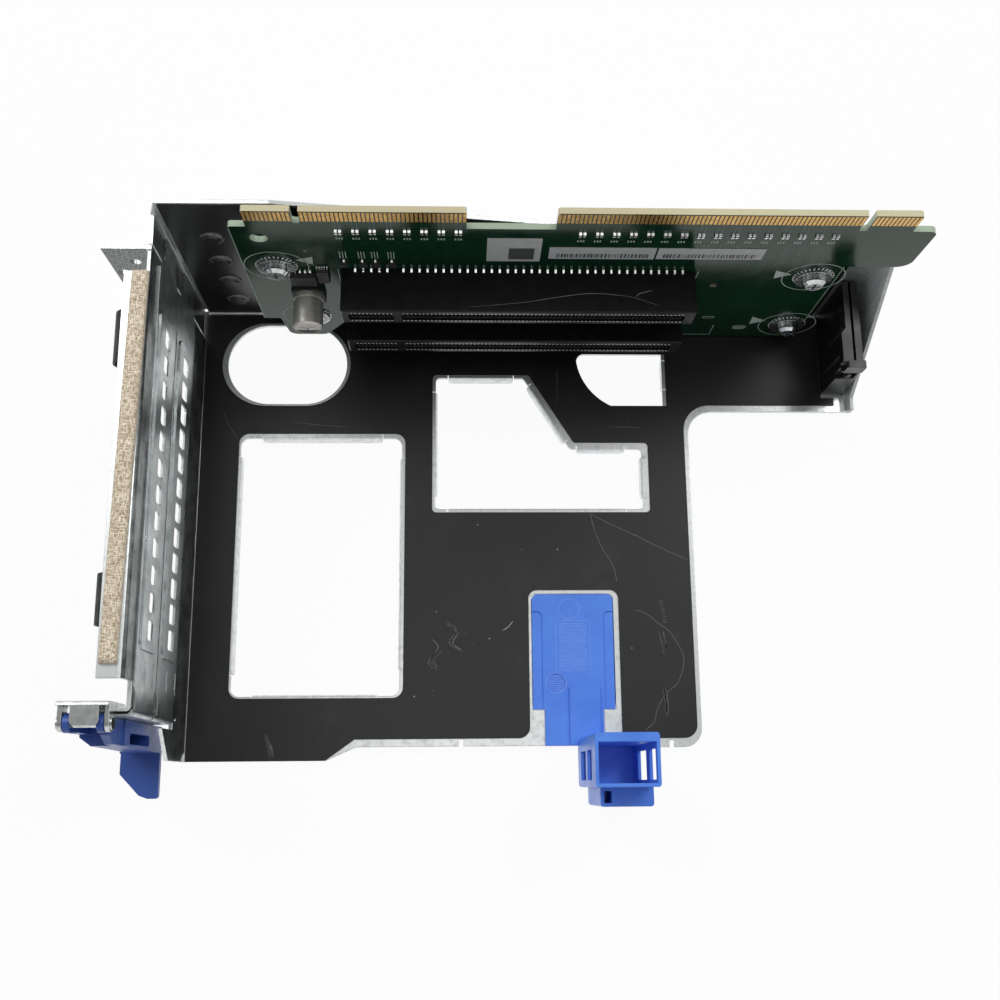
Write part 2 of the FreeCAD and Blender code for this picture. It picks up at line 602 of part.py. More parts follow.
def board_screws():
    """Four pan-head screws with cross recesses."""
    screws = []
    for x, z in SCREWS:
        head = Part.makeCylinder(HEAD_R, 2.0, V(x, -WASHER, z), V(0, -1, 0))
        head = head.makeChamfer(0.8, [e for e in head.Edges if near(e.CenterOfMass.y, -WASHER - 2.0)])
        cross = block((x - 1.7, x + 1.7), (-4, -1.7), (z - 0.35, z + 0.35))
        cross = cross.fuse(block((x - 0.35, x + 0.35), (-4, -1.7), (z - 1.7, z + 1.7)))
        shank = Part.makeCylinder(SHANK_R, 6.0, V(x, -WASHER, z), Y_AXIS)
        screws.append(head.cut(cross).fuse(shank))
    return group(screws)


def screw_washers():
    """Flat washer under each screw head."""
    rings = []
    for x, z in SCREWS:
        ring = Part.makeCylinder(WASHER_R, WASHER, V(x, -WASHER, z), Y_AXIS)
        rings.append(ring.cut(Part.makeCylinder(SHANK_R + 0.15, 2, V(x, -1.5, z), Y_AXIS)))
    return group(rings)


def standoffs():
    """Posts between the board and the back wall."""
    posts = []
    for x, z in SCREWS:
        corners = [(x + POST_R * math.cos(a), z + POST_R * math.sin(a)) for a in SIXTHS]
        post = front(corners, (BOARD, WALL_BACK - SHEET))
        posts.append(post.cut(Part.makeCylinder(SHANK_R + 0.05, 4.4, V(x, BOARD, z), Y_AXIS)))
    return group(posts)


def card_guide():
    """Black moulded guide beside the right wall: two walls, a front face and a top lug."""
    base = PLATE_TOP
    inner = block((GUIDE_X[0], 134.6), (-16.5, 6.2), (base, GUIDE_TOP))
    ledge = block((131.8, 134.6), (-16.5, -7.2), (GUIDE_TOP - 3.0, GUIDE_TOP))
    ledge = ledge.makeChamfer(1.1, [e for e in ledge.Edges if near(e.CenterOfMass.x, 131.8)
                                    and near(e.CenterOfMass.y, -7.2)])
    outer = block((135.2, 137.1), (-16.5, 6.2), (base, GUIDE_TOP))
    sole = block(GUIDE_X, (-17.4, 6.2), (base, base + 1.4))
    face = front([(GUIDE_X[0], base), (GUIDE_X[1], base), (138.0, -20.4), (GUIDE_X[0], -20.4)],
                 (-17.4, -16.2))
    lug = block((132.8, 138.0), (-18.2, -16.2), (-20.6, GUIDE_TOP))
    lug = rounded(lug, 0.6, Y_AXIS)
    ribs = [block((132.5, 133.1), (y, y + 1.2), (-38.0, -18.0)) for y in (-13.0, -7.0, -1.0)]
    guide = join([inner, ledge, outer, sole, face, lug] + ribs)
    return guide.cut(block((133.0, 137.8), (-18, -15.9), (-27.4, -22.4)))


def hinge_bracket():
    """Bracket of the latch: back plate, two arms and a top lip."""
    back = block((ARM_LEFT[0], ARM_RIGHT[1]), (-107.9, -106.9), (5.0, 18.1))
    lip = block((-54.0, -47.8), (-112.2, -106.9), (17.1, 18.1))
    lip = rounded(lip, 1.2, Z_AXIS, lambda p: near(p.y, -112.2))
    shapes = [rounded(back.fuse(lip).removeSplitter(), 0.9, X_AXIS,
                      lambda p: near(p.y, -106.9) and near(p.z, 18.1))]
    for arm in (ARM_LEFT, ARM_RIGHT):
        plate = block(arm, (PIN_Y, -107.4), (12.75, 16.7))
        plate = plate.fuse(Part.makeCylinder(1.97, SHEET, V(arm[0], PIN_Y, 14.72), X_AXIS))
        shapes.append(plate)
    bracket = join(shapes)
    return bracket.cut(Part.makeCylinder(PIN_R, 14, V(-59, PIN_Y, PIN_Z), X_AXIS))


def hinge_pin():
    """Pin of the latch with a flat head at each end."""
    pin = Part.makeCylinder(PIN_R, 11.8, V(-57.4, PIN_Y, PIN_Z), X_AXIS)
    for x in (ARM_LEFT[0] - 0.4, ARM_RIGHT[1]):
        pin = pin.fuse(Part.makeCylinder(1.5, 0.4, V(x, PIN_Y, PIN_Z), X_AXIS))
    return pin.removeSplitter()


def latch_lever():
    """Blue latch: two knuckles, stepped body, side pocket and slanted thumb tip."""
    back = -110.15
    profile = [(back, 12.0), (back, -35.0), (-116.8, -35.0), (-116.0, 0.9), (-115.9, 8.0)]
    profile += [(-113.9, 12.0)]
    body = side(profile, LEVER)
    body = rounded(body, 2.0, X_AXIS, lambda p: near(p.y, back) and p.z < -30)
    body = body.cut(block((LEVER[0] - 1, -53.5), (-119, -113.4), (0.5, 13)))
    corner = [(LEVER[0] - 1, -113.3), (-54.0, -116.2), (-54.0, -119), (LEVER[0] - 1, -119)]
    body = body.cut(plan(corner, (-33.2, 1)))
    raised = side([(back, 0.9), (back, -33.0), (-116.7, -33.0), (-115.9, 0.9)], (-48.0, -46.6))
    low = -35.0
    tip = [(-56.7, -116.0), (-56.7, -121.9), (-51.6, -127.2), (-49.4, -128.0), (-46.8, -128.0), (-46.8, -116.0)]
    paddle = plan(tip, (low, low + 1.8))
    paddle = rounded(paddle, 0.8, Z_AXIS, lambda p: p.y < -120)
    shapes = [body, raised, paddle]
    for ear in ((-55.9, -54.4), (-48.6, -47.1)):
        shapes.append(block(ear, (-113.5, back), (11.0, PIN_Z)))
        shapes.append(Part.makeCylinder(2.15, ear[1] - ear[0], V(ear[0], PIN_Y, PIN_Z), X_AXIS))
    lever = join(shapes)
    lever = lever.cut(Part.makeCylinder(PIN_R + 0.05, 14, V(-59, PIN_Y, PIN_Z), X_AXIS))
    pocket = rounded(block((-53.0, -46.0), (-115.5, -112.9), (-20.7, -3.3)), 0.8, X_AXIS)
    hollow = block((-54.0, -49.0), (-118.0, -112.0), (2.0, 13.0))
    return lever.cut([pocket, hollow])


def pull_handle():
    """Blue pull: plate snapped in the slot of the floor, neck and hollow cup."""
    low = PLATE_TOP - 2.4
    gap = HANDLE_GAP
    head = block((HANDLE_SLOT[0] + gap, HANDLE_SLOT[1] - gap),
                 (HANDLE_SHOULDER + gap, HANDLE_BACK - gap), (low, PLATE_TOP))
    head = rounded(head, HANDLE_CORNER - gap, Z_AXIS, lambda p: near(p.y, HANDLE_BACK - gap))
    neck = block((HANDLE_NECK[0] + gap, HANDLE_NECK[1] - gap), (HANDLE_FRONT, -105.0), (low, PLATE_TOP))
    lip = block((HANDLE_SLOT[0] - 1.2, HANDLE_SLOT[1] + 1.2), (-104.5, -76.0), (low, PLATE_LOW - 0.1))
    cup = block(CUP_X, CUP_Y, (STRIP_LOW, CUP_RIM))
    cup = rounded(cup, 0.8, Z_AXIS)
    cup = cup.cut(block((62.0, 75.8), (-125.2, -115.7), (-42.0, 0)))
    ledge = rounded(block((63.6, CUP_X[1]), (-130.7, -125.6), (STRIP_LOW, -16.0)), 0.8, Z_AXIS)
    ledge = ledge.cut(block((64.5, 66.3), (-129.8, -127.0), (-26.0, -15)))
    handle = join([head, neck, lip, cup, ledge])
    cuts = []
    for x, z in ((60, (-37.0, -25.4)), (60, (-22.0, -12.0)), (75, (-35.0, -21.0)), (75, (-16.0, -6.5))):
        cuts.append(block((x, x + 3), (-124.4, -117.2), z))
    for x in ((48.0, 51.9), (68.6, 73.0)):
        recess = block(x, (-107.0, -79.6), (PLATE_TOP - 0.35, PLATE_TOP + 1))
        cuts.append(rounded(recess, 1.5, Z_AXIS, lambda p: near(p.y, -79.6)))
    cuts.append(Part.makeCylinder(2.6, 2, V(55.6, -98.8, PLATE_TOP - 0.3), Z_AXIS))
    handle = handle.cut(cuts)
    step = block((58.9, 67.2), (HANDLE_FRONT, -100.0), (PLATE_TOP - 0.1, PLATE_TOP + 0.6))
    return handle.fuse(step).removeSplitter()


def board_labels():
    """Three blank labels on the board."""
    spans = (((36.1, 49.2), (9.1, 21.5)), ((51.2, 77.1), (10.7, 16.9)), ((77.6, 103.8), (10.9, 16.8)))
    return group([block(x, (-0.12, 0), z) for x, z in spans])


LOWER = -CONNECTOR_PITCH
NODES = {
    "cage_sheet": cage_sheet,
    "base_film": base_film,
    "back_film": back_film,
    "filler_upper": lambda: filler(FILLER_UPPER_MID, 4.6, 4.7, (4.2, -3.4)),
    "filler_lower": lambda: filler(FILLER_LOWER_MID, 5.6, 5.0, (-16.1, -24.6)),
    "emi_gasket": emi_gasket,
    "spring_hooks": spring_hooks,
    "riser_board": riser_board,
    "edge_contacts_front": lambda: edge_contacts((-FINGER_PROUD, 0)),
    "edge_contacts_back": lambda: edge_contacts((BOARD, BOARD + FINGER_PROUD)),
    "connector_upper": lambda: connector_housing(0),
    "connector_lower": lambda: connector_housing(LOWER),
    "contacts_upper": lambda: contacts(0),
    "contacts_lower": lambda: contacts(LOWER),
    "capacitor_base": capacitor_base,
    "capacitor_can": capacitor_can,
    "control_chips": control_chips,
    "chip_capacitors": chip_capacitors,
    "transistors": transistors,
    "board_screws": board_screws,
    "screw_washers": screw_washers,
    "standoffs": standoffs,
    "card_guide": card_guide,
    "hinge_bracket": hinge_bracket,
    "hinge_pin": hinge_pin,
    "latch_lever": latch_lever,
    "pull_handle": pull_handle,
    "board_labels": board_labels,
}

os.makedirs("parts", exist_ok=True)
for name, make in NODES.items():
    shape = make()
    shape.translate(ORIGIN_SHIFT)
    shape.exportStep("parts/" + name + ".step")
    box = shape.BoundBox
    print(name, len(shape.Solids), shape.isValid(), round(shape.Volume, 1),
          [round(v, 2) for v in (box.XMin, box.XMax, box.YMin, box.YMax, box.ZMin, box.ZMax)])
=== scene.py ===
"""Looks of a two-slot riser cage: folded zinc-coated sheet, upright circuit board, card latch and blue pull.

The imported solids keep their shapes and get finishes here. Print, solder, comb ribs, wear and the
cloth-covered gasket are added as pieces of their own. Sizes inside the classes are millimetres from
the sheet-metal datum: x from the left end of the card connectors, y from the front face of the board
and z from the middle of the upper connector.
"""

import logging
import math
import random
from dataclasses import dataclass
from enum import Enum

import bmesh
import bpy
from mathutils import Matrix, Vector


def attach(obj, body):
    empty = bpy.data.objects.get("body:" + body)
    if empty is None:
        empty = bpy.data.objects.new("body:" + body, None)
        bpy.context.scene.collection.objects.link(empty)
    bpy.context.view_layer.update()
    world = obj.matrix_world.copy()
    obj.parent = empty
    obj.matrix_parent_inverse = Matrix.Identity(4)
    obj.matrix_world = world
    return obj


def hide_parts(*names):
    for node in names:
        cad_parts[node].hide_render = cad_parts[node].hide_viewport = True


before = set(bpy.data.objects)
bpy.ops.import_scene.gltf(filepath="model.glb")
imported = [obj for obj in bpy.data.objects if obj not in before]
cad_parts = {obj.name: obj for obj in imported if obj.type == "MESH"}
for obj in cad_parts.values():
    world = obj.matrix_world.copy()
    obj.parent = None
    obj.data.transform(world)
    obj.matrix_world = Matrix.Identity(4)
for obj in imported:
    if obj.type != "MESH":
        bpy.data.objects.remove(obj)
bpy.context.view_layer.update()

LOG = logging.getLogger("riser_cage")
MM = 0.001
FULL_TURN = 2 * math.pi
# Place of the drawing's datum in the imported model
DATUM = (-42.2, 61.5, 44.0)
# Height of the middle of each card connector
CONNECTORS = {"upper": 0.0, "lower": -20.32}
# Least height of a drawn detail above its face
CLEAR = 0.01
# Share of its width that a tapering line keeps at its ends
TAPER_TIP = 0.25
# Heights of a dome's rings as parts of the whole
DOME_LEVELS = (0.0, 0.45, 0.8)
# Strength of every fine grain
RELIEF = 0.6
# Sockets of a mix node that mixes colours
MIX_FACTOR, MIX_A, MIX_B, MIX_OUT = 0, 6, 7, 2

Point = tuple[float, float]
Tree = bpy.types.NodeTree
Node = bpy.types.Node
Socket = bpy.types.NodeSocket


class Side(Enum):
    """Faces that details are drawn on: the floor in x and y, and the board in x and z."""

    FLOOR = "floor"
    BOARD = "board"

    def place(self, u: float, v: float, level: float) -> Vector:
        """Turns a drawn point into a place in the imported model's frame.

        Args:
            u: first drawing axis, x.
            v: second drawing axis: y on the floor, z on the board.
            level: how far along the face's own axis the point lies.

        Returns:
            The place in metres.
        """
        spot = (u, v, level) if self is Side.FLOOR else (u, level, v)
        return Vector([(value + shift) * MM for value, shift in zip(spot, DATUM)])

    @property
    def outward(self) -> float:
        """Sign of the way out of the face along its own axis."""
        return 1.0 if self is Side.FLOOR else -1.0


class Grain(Enum):
    """Ways in which a metal's surface was made."""

    SPANGLED = "hot-dip zinc crystals"
    BRUSHED = "drawn or brushed lines"
    PLATED = "smooth plating"


def linear(code: str) -> tuple[float, float, float, float]:
    """Turns an sRGB hex colour into the linear colour that a shader takes.

    Args:
        code: six hex digits after a hash.

    Returns:
        Linear red, green, blue and a full alpha.
    """
    values = [int(code[i:i + 2], 16) / 255 for i in (1, 3, 5)]
    bent = [v / 12.92 if v <= 0.04045 else ((v + 0.055) / 1.055) ** 2.4 for v in values]
    return (bent[0], bent[1], bent[2], 1.0)


def add(tree: Tree, kind: str, values: dict | None = None, links: dict | None = None,
        **settings: object) -> Node:
    """Adds one shader node with its settings, values and links.

    Args:
        tree: node tree that takes the node.
        kind: type of node, without its ShaderNode prefix.
        values: value for each named or numbered input.
        links: output socket for each named or numbered input.
        **settings: properties of the node itself.

    Returns:
        The new node.
    """
    node = tree.nodes.new("ShaderNode" + kind)
    for name, value in settings.items():
        setattr(node, name, value)
    for key, value in (values or {}).items():
        node.inputs[key].default_value = value
    for key, socket in (links or {}).items():
        tree.links.new(socket, node.inputs[key])
    return node


def combine(tree: Tree, operation: str, first: Socket, second: Socket | float) -> Socket:
    """Joins two values.

    Args:
        tree: node tree that takes the node.
        operation: what the maths node does with them.
        first: the first value.
        second: the second value, linked or fixed.

    Returns:
        The result.
    """
    if isinstance(second, float):
        return add(tree, "Math", {1: second}, {0: first}, operation=operation).outputs[0]
    return add(tree, "Math", links={0: first, 1: second}, operation=operation).outputs[0]


def ramp(tree: Tree, value: Socket, reach: Point = (0.0, 1.0), into: Point = (0.0, 1.0),
         **settings: object) -> Socket:
    """Stretches one range of a value to another.

    Args:
        tree: node tree that takes the node.
        value: the value.
        reach: the range that it is read over.
        into: what the two ends of that range become.
        **settings: properties of the node itself.

    Returns:
        The result.
    """
    ends = {"From Min": reach[0], "From Max": reach[1], "To Min": into[0], "To Max": into[1]}
    return add(tree, "MapRange", ends, {"Value": value}, **settings).outputs[0]


def noise(tree: Tree, place: Socket, size_mm: float, detail: float, roughness: float = 0.5) -> Socket:
    """Cloudy noise of a real size.

    Args:
        tree: node tree that takes the node.
        place: place on the piece, in metres.
        size_mm: size of its features.
        detail: how many finer layers it has.
        roughness: strength of the finer layers.

    Returns:
        The noise as a value.
    """
    values = {"Scale": 1 / (size_mm * MM), "Detail": detail, "Roughness": roughness}
    return add(tree, "TexNoise", values, {"Vector": place}).outputs[0]


def blend(tree: Tree, share: Socket, first: Socket | str, second: Socket | str) -> Socket:
    """Mixes two colours.

    Args:
        tree: node tree that takes the node.
        share: 0 for the first colour and 1 for the second.
        first: a colour, linked or as sRGB hex.
        second: another colour, linked or as sRGB hex.

    Returns:
        The mixed colour.
    """
    values, links = {}, {MIX_FACTOR: share}
    for key, end in ((MIX_A, first), (MIX_B, second)):
        if isinstance(end, str):
            values[key] = linear(end)
        else:
            links[key] = end
    return add(tree, "Mix", values, links, data_type="RGBA").outputs[MIX_OUT]


def smooth_line(points: list[Point], steps: int = 8) -> list[Point]:
    """Runs a smooth line through a few points.

    Args:
        points: two or more points that the line passes.
        steps: pieces between two neighbouring points.

    Returns:
        The points of the smooth line.
    """
    ends = [points[0]] + list(points) + [points[-1]]
    line = []
    for before, start, stop, after in zip(ends, ends[1:], ends[2:], ends[3:]):
        for i in range(steps):
            t = i / steps
            spot = []
            for a, b, c, d in zip(before, start, stop, after):
                spot.append(0.5 * (2 * b + (c - a) * t + (2 * a - 5 * b + 4 * c - d) * t * t
                                   + (3 * b - a - 3 * c + d) * t ** 3))
            line.append((spot[0], spot[1]))
    return line + [points[-1]]


@dataclass(frozen=True)
class Finish:
    """A material's look: its colour, a second tone, its gloss and its fine grain.

    Args:
        name: plain name of the real material.
        colour: sRGB hex colour.
        tone: sRGB hex colour that patches drift to.
        roughness: typical roughness of the surface.
        patch_mm: size of the patches of tone.
        grain_mm: size of the fine grain.
        grain_depth_mm: height of the fine grain.
        edge_mm: radius of the softened edges that catch light, or 0 for thin ink and marks.
        metallic: 1 for a bare metal.
        spread: how far roughness drifts with the patches.
        specular: strength of the clear surface reflection.
    """

    name: str
    colour: str
    tone: str
    roughness: float = 0.5
    patch_mm: float = 6.0
    grain_mm: float = 0.4
    grain_depth_mm: float = 0.01
    edge_mm: float = 0.2
    metallic: float = 0.0
    spread: float = 0.06
    specular: float = 0.5

    def material(self) -> bpy.types.Material:
        """Makes the finish once and gives it back on each later call.

        Returns:
            The material with its node tree.
        """
        made = bpy.data.materials.get(self.name)
        if made:
            return made
        made = bpy.data.materials.new(self.name)
        made.use_nodes = True
        made.diffuse_color = linear(self.colour)
        tree = made.node_tree
        tree.nodes.clear()
        shader = add(tree, "BsdfPrincipled", {"Metallic": self.metallic, "Roughness": self.roughness,
                                              "Base Color": linear(self.colour),
                                              "Specular IOR Level": self.specular})
        add(tree, "OutputMaterial", links={"Surface": shader.outputs[0]})
        place = add(tree, "TexCoord").outputs["Object"]
        self.paint(tree, shader, place)
        return made

    def paint(self, tree: Tree, shader: Node, place: Socket) -> None:
        """Gives the shader its patches of tone and its grain.

        Args:
            tree: node tree of the material.
            shader: the surface shader.
            place: place on the piece, in metres.
        """
        self.drift(tree, shader, self.patches(tree, place))
        self.emboss(tree, shader, noise(tree, place, self.grain_mm, 2.0), self.grain_depth_mm)

    def patches(self, tree: Tree, place: Socket) -> Socket:
        """Soft patches over the surface, from 0 to 1.

        Args:
            tree: node tree of the material.
            place: place on the piece, in metres.

        Returns:
            The patches as a value.
        """
        return ramp(tree, noise(tree, place, self.patch_mm, 5.0, 0.6), (0.3, 0.7),
                    interpolation_type="SMOOTHSTEP")

    def drift(self, tree: Tree, shader: Node, amount: Socket) -> Socket:
        """Lets colour and roughness follow a value.

        Args:
            tree: node tree of the material.
            shader: the surface shader.
            amount: value from 0 to 1.

        Returns:
            The resulting colour.
        """
        mixed = blend(tree, amount, self.colour, self.tone)
        tree.links.new(mixed, shader.inputs["Base Color"])
        rough = ramp(tree, amount, into=(self.roughness - self.spread, self.roughness + self.spread))
        tree.links.new(rough, shader.inputs["Roughness"])
        return mixed

    def emboss(self, tree: Tree, shader: Node, height: Socket, depth_mm: float) -> None:
        """Raises the surface by a value and softens its sharp edges.

        Args:
            tree: node tree of the material.
            shader: the surface shader.
            height: value from 0 to 1.
            depth_mm: height of the relief at 1.
        """
        bump = add(tree, "Bump", {"Strength": RELIEF, "Distance": depth_mm * MM}, {"Height": height})
        if self.edge_mm:
            edge = add(tree, "Bevel", {"Radius": self.edge_mm * MM}, samples=4)
            tree.links.new(edge.outputs[0], bump.inputs["Normal"])
        tree.links.new(bump.outputs[0], shader.inputs["Normal"])


@dataclass(frozen=True)
class Metal(Finish):
    """Bare or plated metal, whose grain shows how it was made.

    Args:
        grain: how the surface was made.
        along: scale of the grain on each axis, small along the drawn lines.
    """

    metallic: float = 1.0
    grain: Grain = Grain.PLATED
    along: tuple[float, float, float] = (1.0, 1.0, 1.0)

    def paint(self, tree: Tree, shader: Node, place: Socket) -> None:
        """Gives the metal its crystals, its drawn lines or its smooth plating.

        Args:
            tree: node tree of the material.
            shader: the surface shader.
            place: place on the piece, in metres.
        """
        if self.grain is Grain.SPANGLED:
            crystals = add(tree, "TexVoronoi", {"Scale": 1 / (self.patch_mm * MM), "Randomness": 1.0},
                           {"Vector": place})
            shade = add(tree, "SeparateColor", links={0: crystals.outputs["Color"]}).outputs[0]
            amount = combine(tree, "MULTIPLY", shade, self.patches(tree, place))
        else:
            amount = self.patches(tree, place)
        self.drift(tree, shader, amount)
        lines = add(tree, "Mapping", {"Scale": self.along}, {"Vector": place}).outputs[0]
        self.emboss(tree, shader, noise(tree, lines, self.grain_mm, 3.0), self.grain_depth_mm)


@dataclass(frozen=True)
class ZincSheet(Metal):
    """Zinc-coated sheet with a dark mottle of painted shade on its rear tab and on the left wall's inner
    face, and matte grey streaks of painted light on the right wall.

    Args:
        painted_shade_colour: sRGB hex colour of the painted shade on the left wall and the rear tab.
        streak: sRGB hex colour of the matte streaks of painted light on the right wall.
        tab: x beyond which the rear tab gets the painted shade.
        wall_left: x beyond which the left wall gets the painted shade.
        wall_right: x beyond which the right wall gets the painted streaks.
        blotch_mm: size of the blotches of painted shade on the left wall.
        pit_mm: size of the pits of painted shade on the rear tab.
        mottle: least and greatest share of painted shade in both.
        streak_mm: width of a streak.
        streak_run: scale of the streaks along their length.
        streak_metallic: how metallic the right wall is.
    """

    painted_shade_colour: str = "#454948"
    streak: str = "#A3A8A7"
    tab: float = -43.9
    wall_left: float = -42.4
    wall_right: float = 140.0
    blotch_mm: float = 7.0
    pit_mm: float = 0.5
    mottle: Point = (0.72, 1.0)
    streak_mm: float = 1.2
    streak_run: float = 0.12
    streak_metallic: float = 0.05

    def paint(self, tree: Tree, shader: Node, place: Socket) -> None:
        """Adds a dark mottle of painted shade on the left wall and the rear tab, and matte grey streaks of
        painted light on the right wall.

        Args:
            tree: node tree of the material.
            shader: the surface shader.
            place: place on the piece, in metres.
        """
        super().paint(tree, shader, place)
        bare = shader.inputs["Base Color"].links[0].from_socket
        left, right, rear = self.areas(tree, place)
        # Painted shade: dark blotches on the left wall's inner face and dark pits on the rear tab
        blotches = ramp(tree, noise(tree, place, self.blotch_mm, 6.0, 0.65), (0.35, 0.62), self.mottle)
        pits = ramp(tree, noise(tree, place, self.pit_mm, 3.0), (0.38, 0.6), self.mottle)
        wall = combine(tree, "MULTIPLY", left, blotches)
        tab = combine(tree, "MULTIPLY", rear, pits)
        dull = blend(tree, combine(tree, "MAXIMUM", wall, tab), bare, self.painted_shade_colour)
        # Painted light: matte grey streaks that stand in for the right wall's streaky reflections, where the
        # wall also loses most of its metallic look
        run = add(tree, "Mapping", {"Scale": (1.0, 1.0, self.streak_run)}, {"Vector": place}).outputs[0]
        streaks = combine(tree, "MULTIPLY", right, noise(tree, run, self.streak_mm, 4.0))
        tree.links.new(blend(tree, streaks, dull, self.streak), shader.inputs["Base Color"])
        bareness = ramp(tree, right, into=(self.metallic, self.streak_metallic))
        tree.links.new(bareness, shader.inputs["Metallic"])

    def areas(self, tree: Tree, place: Socket) -> list[Socket]:
        """Marks the left wall's inner face, the right wall but for its outer face, and the rear tab's front.

        Args:
            tree: node tree of the material.
            place: place on the piece, in metres.

        Returns:
            Three values that are 1 on their own area and 0 elsewhere.
        """
        across = add(tree, "SeparateXYZ", links={0: place}).outputs[0]
        faces = add(tree, "SeparateXYZ", links={0: add(tree, "TexCoord").outputs["Normal"]}).outputs
        shares = []
        for limit, side, facing, turn, way in ((self.wall_left, "LESS_THAN", faces[0], 0.5, "GREATER_THAN"),
                                               (self.wall_right, "GREATER_THAN", faces[0], 0.5, "LESS_THAN"),
                                               (self.tab, "LESS_THAN", faces[1], -0.5, "LESS_THAN")):
            beyond = combine(tree, side, across, (limit + DATUM[0]) * MM)
            shares.append(combine(tree, "MULTIPLY", beyond, combine(tree, way, facing, turn)))
        return shares


@dataclass(frozen=True)
class SolderMask(Finish):
    """Green solder mask over copper, with bare laminate along the board's edges.

    Args:
        edge_colour: sRGB hex colour of the sawn edges.
        tab_edge_colour: sRGB hex colour of the edge tabs' own edges.
        tab_colour: sRGB hex colour between the edge fingers, where no mask lies.
        tab_low: height above which no mask lies.
        shoulder: height above which the edges are the tabs' own.
        gloss_tint: sRGB hex tint of the mask's reflections.
    """

    edge_colour: str = "#A9B7A4"
    tab_edge_colour: str = "#CFC6A6"
    tab_colour: str = "#1F2114"
    tab_low: float = 29.3
    shoulder: float = 33.0
    gloss_tint: str = "#ABD0B4"

    def paint(self, tree: Tree, shader: Node, place: Socket) -> None:
        """Paints mask on the two faces and laminate on the cut edges.

        Args:
            tree: node tree of the material.
            shader: the surface shader.
            place: place on the piece, in metres.
        """
        mask = self.drift(tree, shader, self.patches(tree, place))
        height = add(tree, "SeparateXYZ", links={0: place}).outputs[2]
        normal = add(tree, "TexCoord").outputs["Normal"]
        across = add(tree, "SeparateXYZ", links={0: normal}).outputs[1]
        size = add(tree, "Math", links={0: across}, operation="ABSOLUTE").outputs[0]
        is_edge = combine(tree, "LESS_THAN", size, 0.5)
        above_mask = combine(tree, "GREATER_THAN", height, (self.tab_low + DATUM[2]) * MM)
        on_tab = combine(tree, "GREATER_THAN", height, (self.shoulder + DATUM[2]) * MM)
        faces = blend(tree, above_mask, mask, self.tab_colour)
        edges = blend(tree, on_tab, self.edge_colour, self.tab_edge_colour)
        tree.links.new(blend(tree, is_edge, faces, edges), shader.inputs["Base Color"])
        shader.inputs["Specular Tint"].default_value = linear(self.gloss_tint)
        self.emboss(tree, shader, noise(tree, place, self.grain_mm, 1.0), self.grain_depth_mm)


@dataclass(frozen=True)
class WovenCloth(Finish):
    """Plain-woven cloth with uneven threads.

    Args:
        thread_mm: width of a thread.
        thread_run: scale of a thread along its length.
        sheen: weight of the cloth's sheen.
    """

    thread_mm: float = 0.3
    thread_run: float = 0.22
    sheen: float = 0.3

    def paint(self, tree: Tree, shader: Node, place: Socket) -> None:
        """Weaves two sets of pale threads and darkens the valleys between them as painted shade.

        Args:
            tree: node tree of the material.
            shader: the surface shader.
            place: place on the piece, in metres.
        """
        sets = []
        for stretch in ((1.0, self.thread_run, 1.0), (self.thread_run, 1.0, 1.0)):
            run = add(tree, "Mapping", {"Scale": stretch}, {"Vector": place}).outputs[0]
            sets.append(noise(tree, run, self.thread_mm, 2.0))
        threads = ramp(tree, combine(tree, "MAXIMUM", sets[0], sets[1]), (0.46, 0.6))
        cloud = ramp(tree, self.patches(tree, place), into=(0.6, 1.0))
        amount = combine(tree, "MULTIPLY", threads, cloud)
        self.drift(tree, shader, amount)
        shader.inputs["Sheen Weight"].default_value = self.sheen
        self.emboss(tree, shader, threads, self.grain_depth_mm)


@dataclass(frozen=True)
class ScuffedFilm(Finish):
    """Matte insulating film with faint rubbed areas and specks of dust.

    Args:
        rub: sRGB hex colour of the rubbed areas.
        rub_mm: size of the rubbed areas.
        rub_most: greatest share of that colour.
        dust: sRGB hex colour of the dust.
        speck_mm: spacing of the cells that may hold a speck.
        speck_share: part of the cells that hold none.
        speck_part: radius of a speck as a part of its cell.
    """

    rub: str = "#55554F"
    rub_mm: float = 18.0
    rub_most: float = 0.2
    dust: str = "#8C8C86"
    speck_mm: float = 2.2
    speck_share: float = 0.93
    speck_part: float = 0.045

    def paint(self, tree: Tree, shader: Node, place: Socket) -> None:
        """Adds rubbed haze and sparse specks to the film's own grain.

        Args:
            tree: node tree of the material.
            shader: the surface shader.
            place: place on the piece, in metres.
        """
        base = self.drift(tree, shader, self.patches(tree, place))
        rubbed = ramp(tree, noise(tree, place, self.rub_mm, 6.0, 0.7), (0.56, 0.85), (0.0, self.rub_most))
        film = blend(tree, rubbed, base, self.rub)
        cells = add(tree, "TexVoronoi", {"Scale": 1 / (self.speck_mm * MM)}, {"Vector": place}).outputs
        pick = add(tree, "SeparateColor", links={0: cells["Color"]}).outputs[0]
        rare = combine(tree, "GREATER_THAN", pick, self.speck_share)
        small = combine(tree, "LESS_THAN", cells["Distance"], self.speck_part)
        speck = combine(tree, "MULTIPLY", rare, small)
        tree.links.new(blend(tree, speck, film, self.dust), shader.inputs["Base Color"])
        self.emboss(tree, shader, noise(tree, place, self.grain_mm, 2.0), self.grain_depth_mm)


# Hot-dip zinc on folded steel: pale grey crystals of about 1.4 mm with a cloudy bloom; a dark mottle of
# painted shade on the left wall's inner face and the rear tab, and matte grey streaks of painted light on
# the right wall
GALVANISED = ZincSheet("zinc_sheet_painted_shade_and_streaks", "#E9EDEC", "#CBD0CE", 0.34, patch_mm=1.4, grain_mm=0.35,
                       grain_depth_mm=0.008, edge_mm=0.4, metallic=0.85, grain=Grain.SPANGLED)
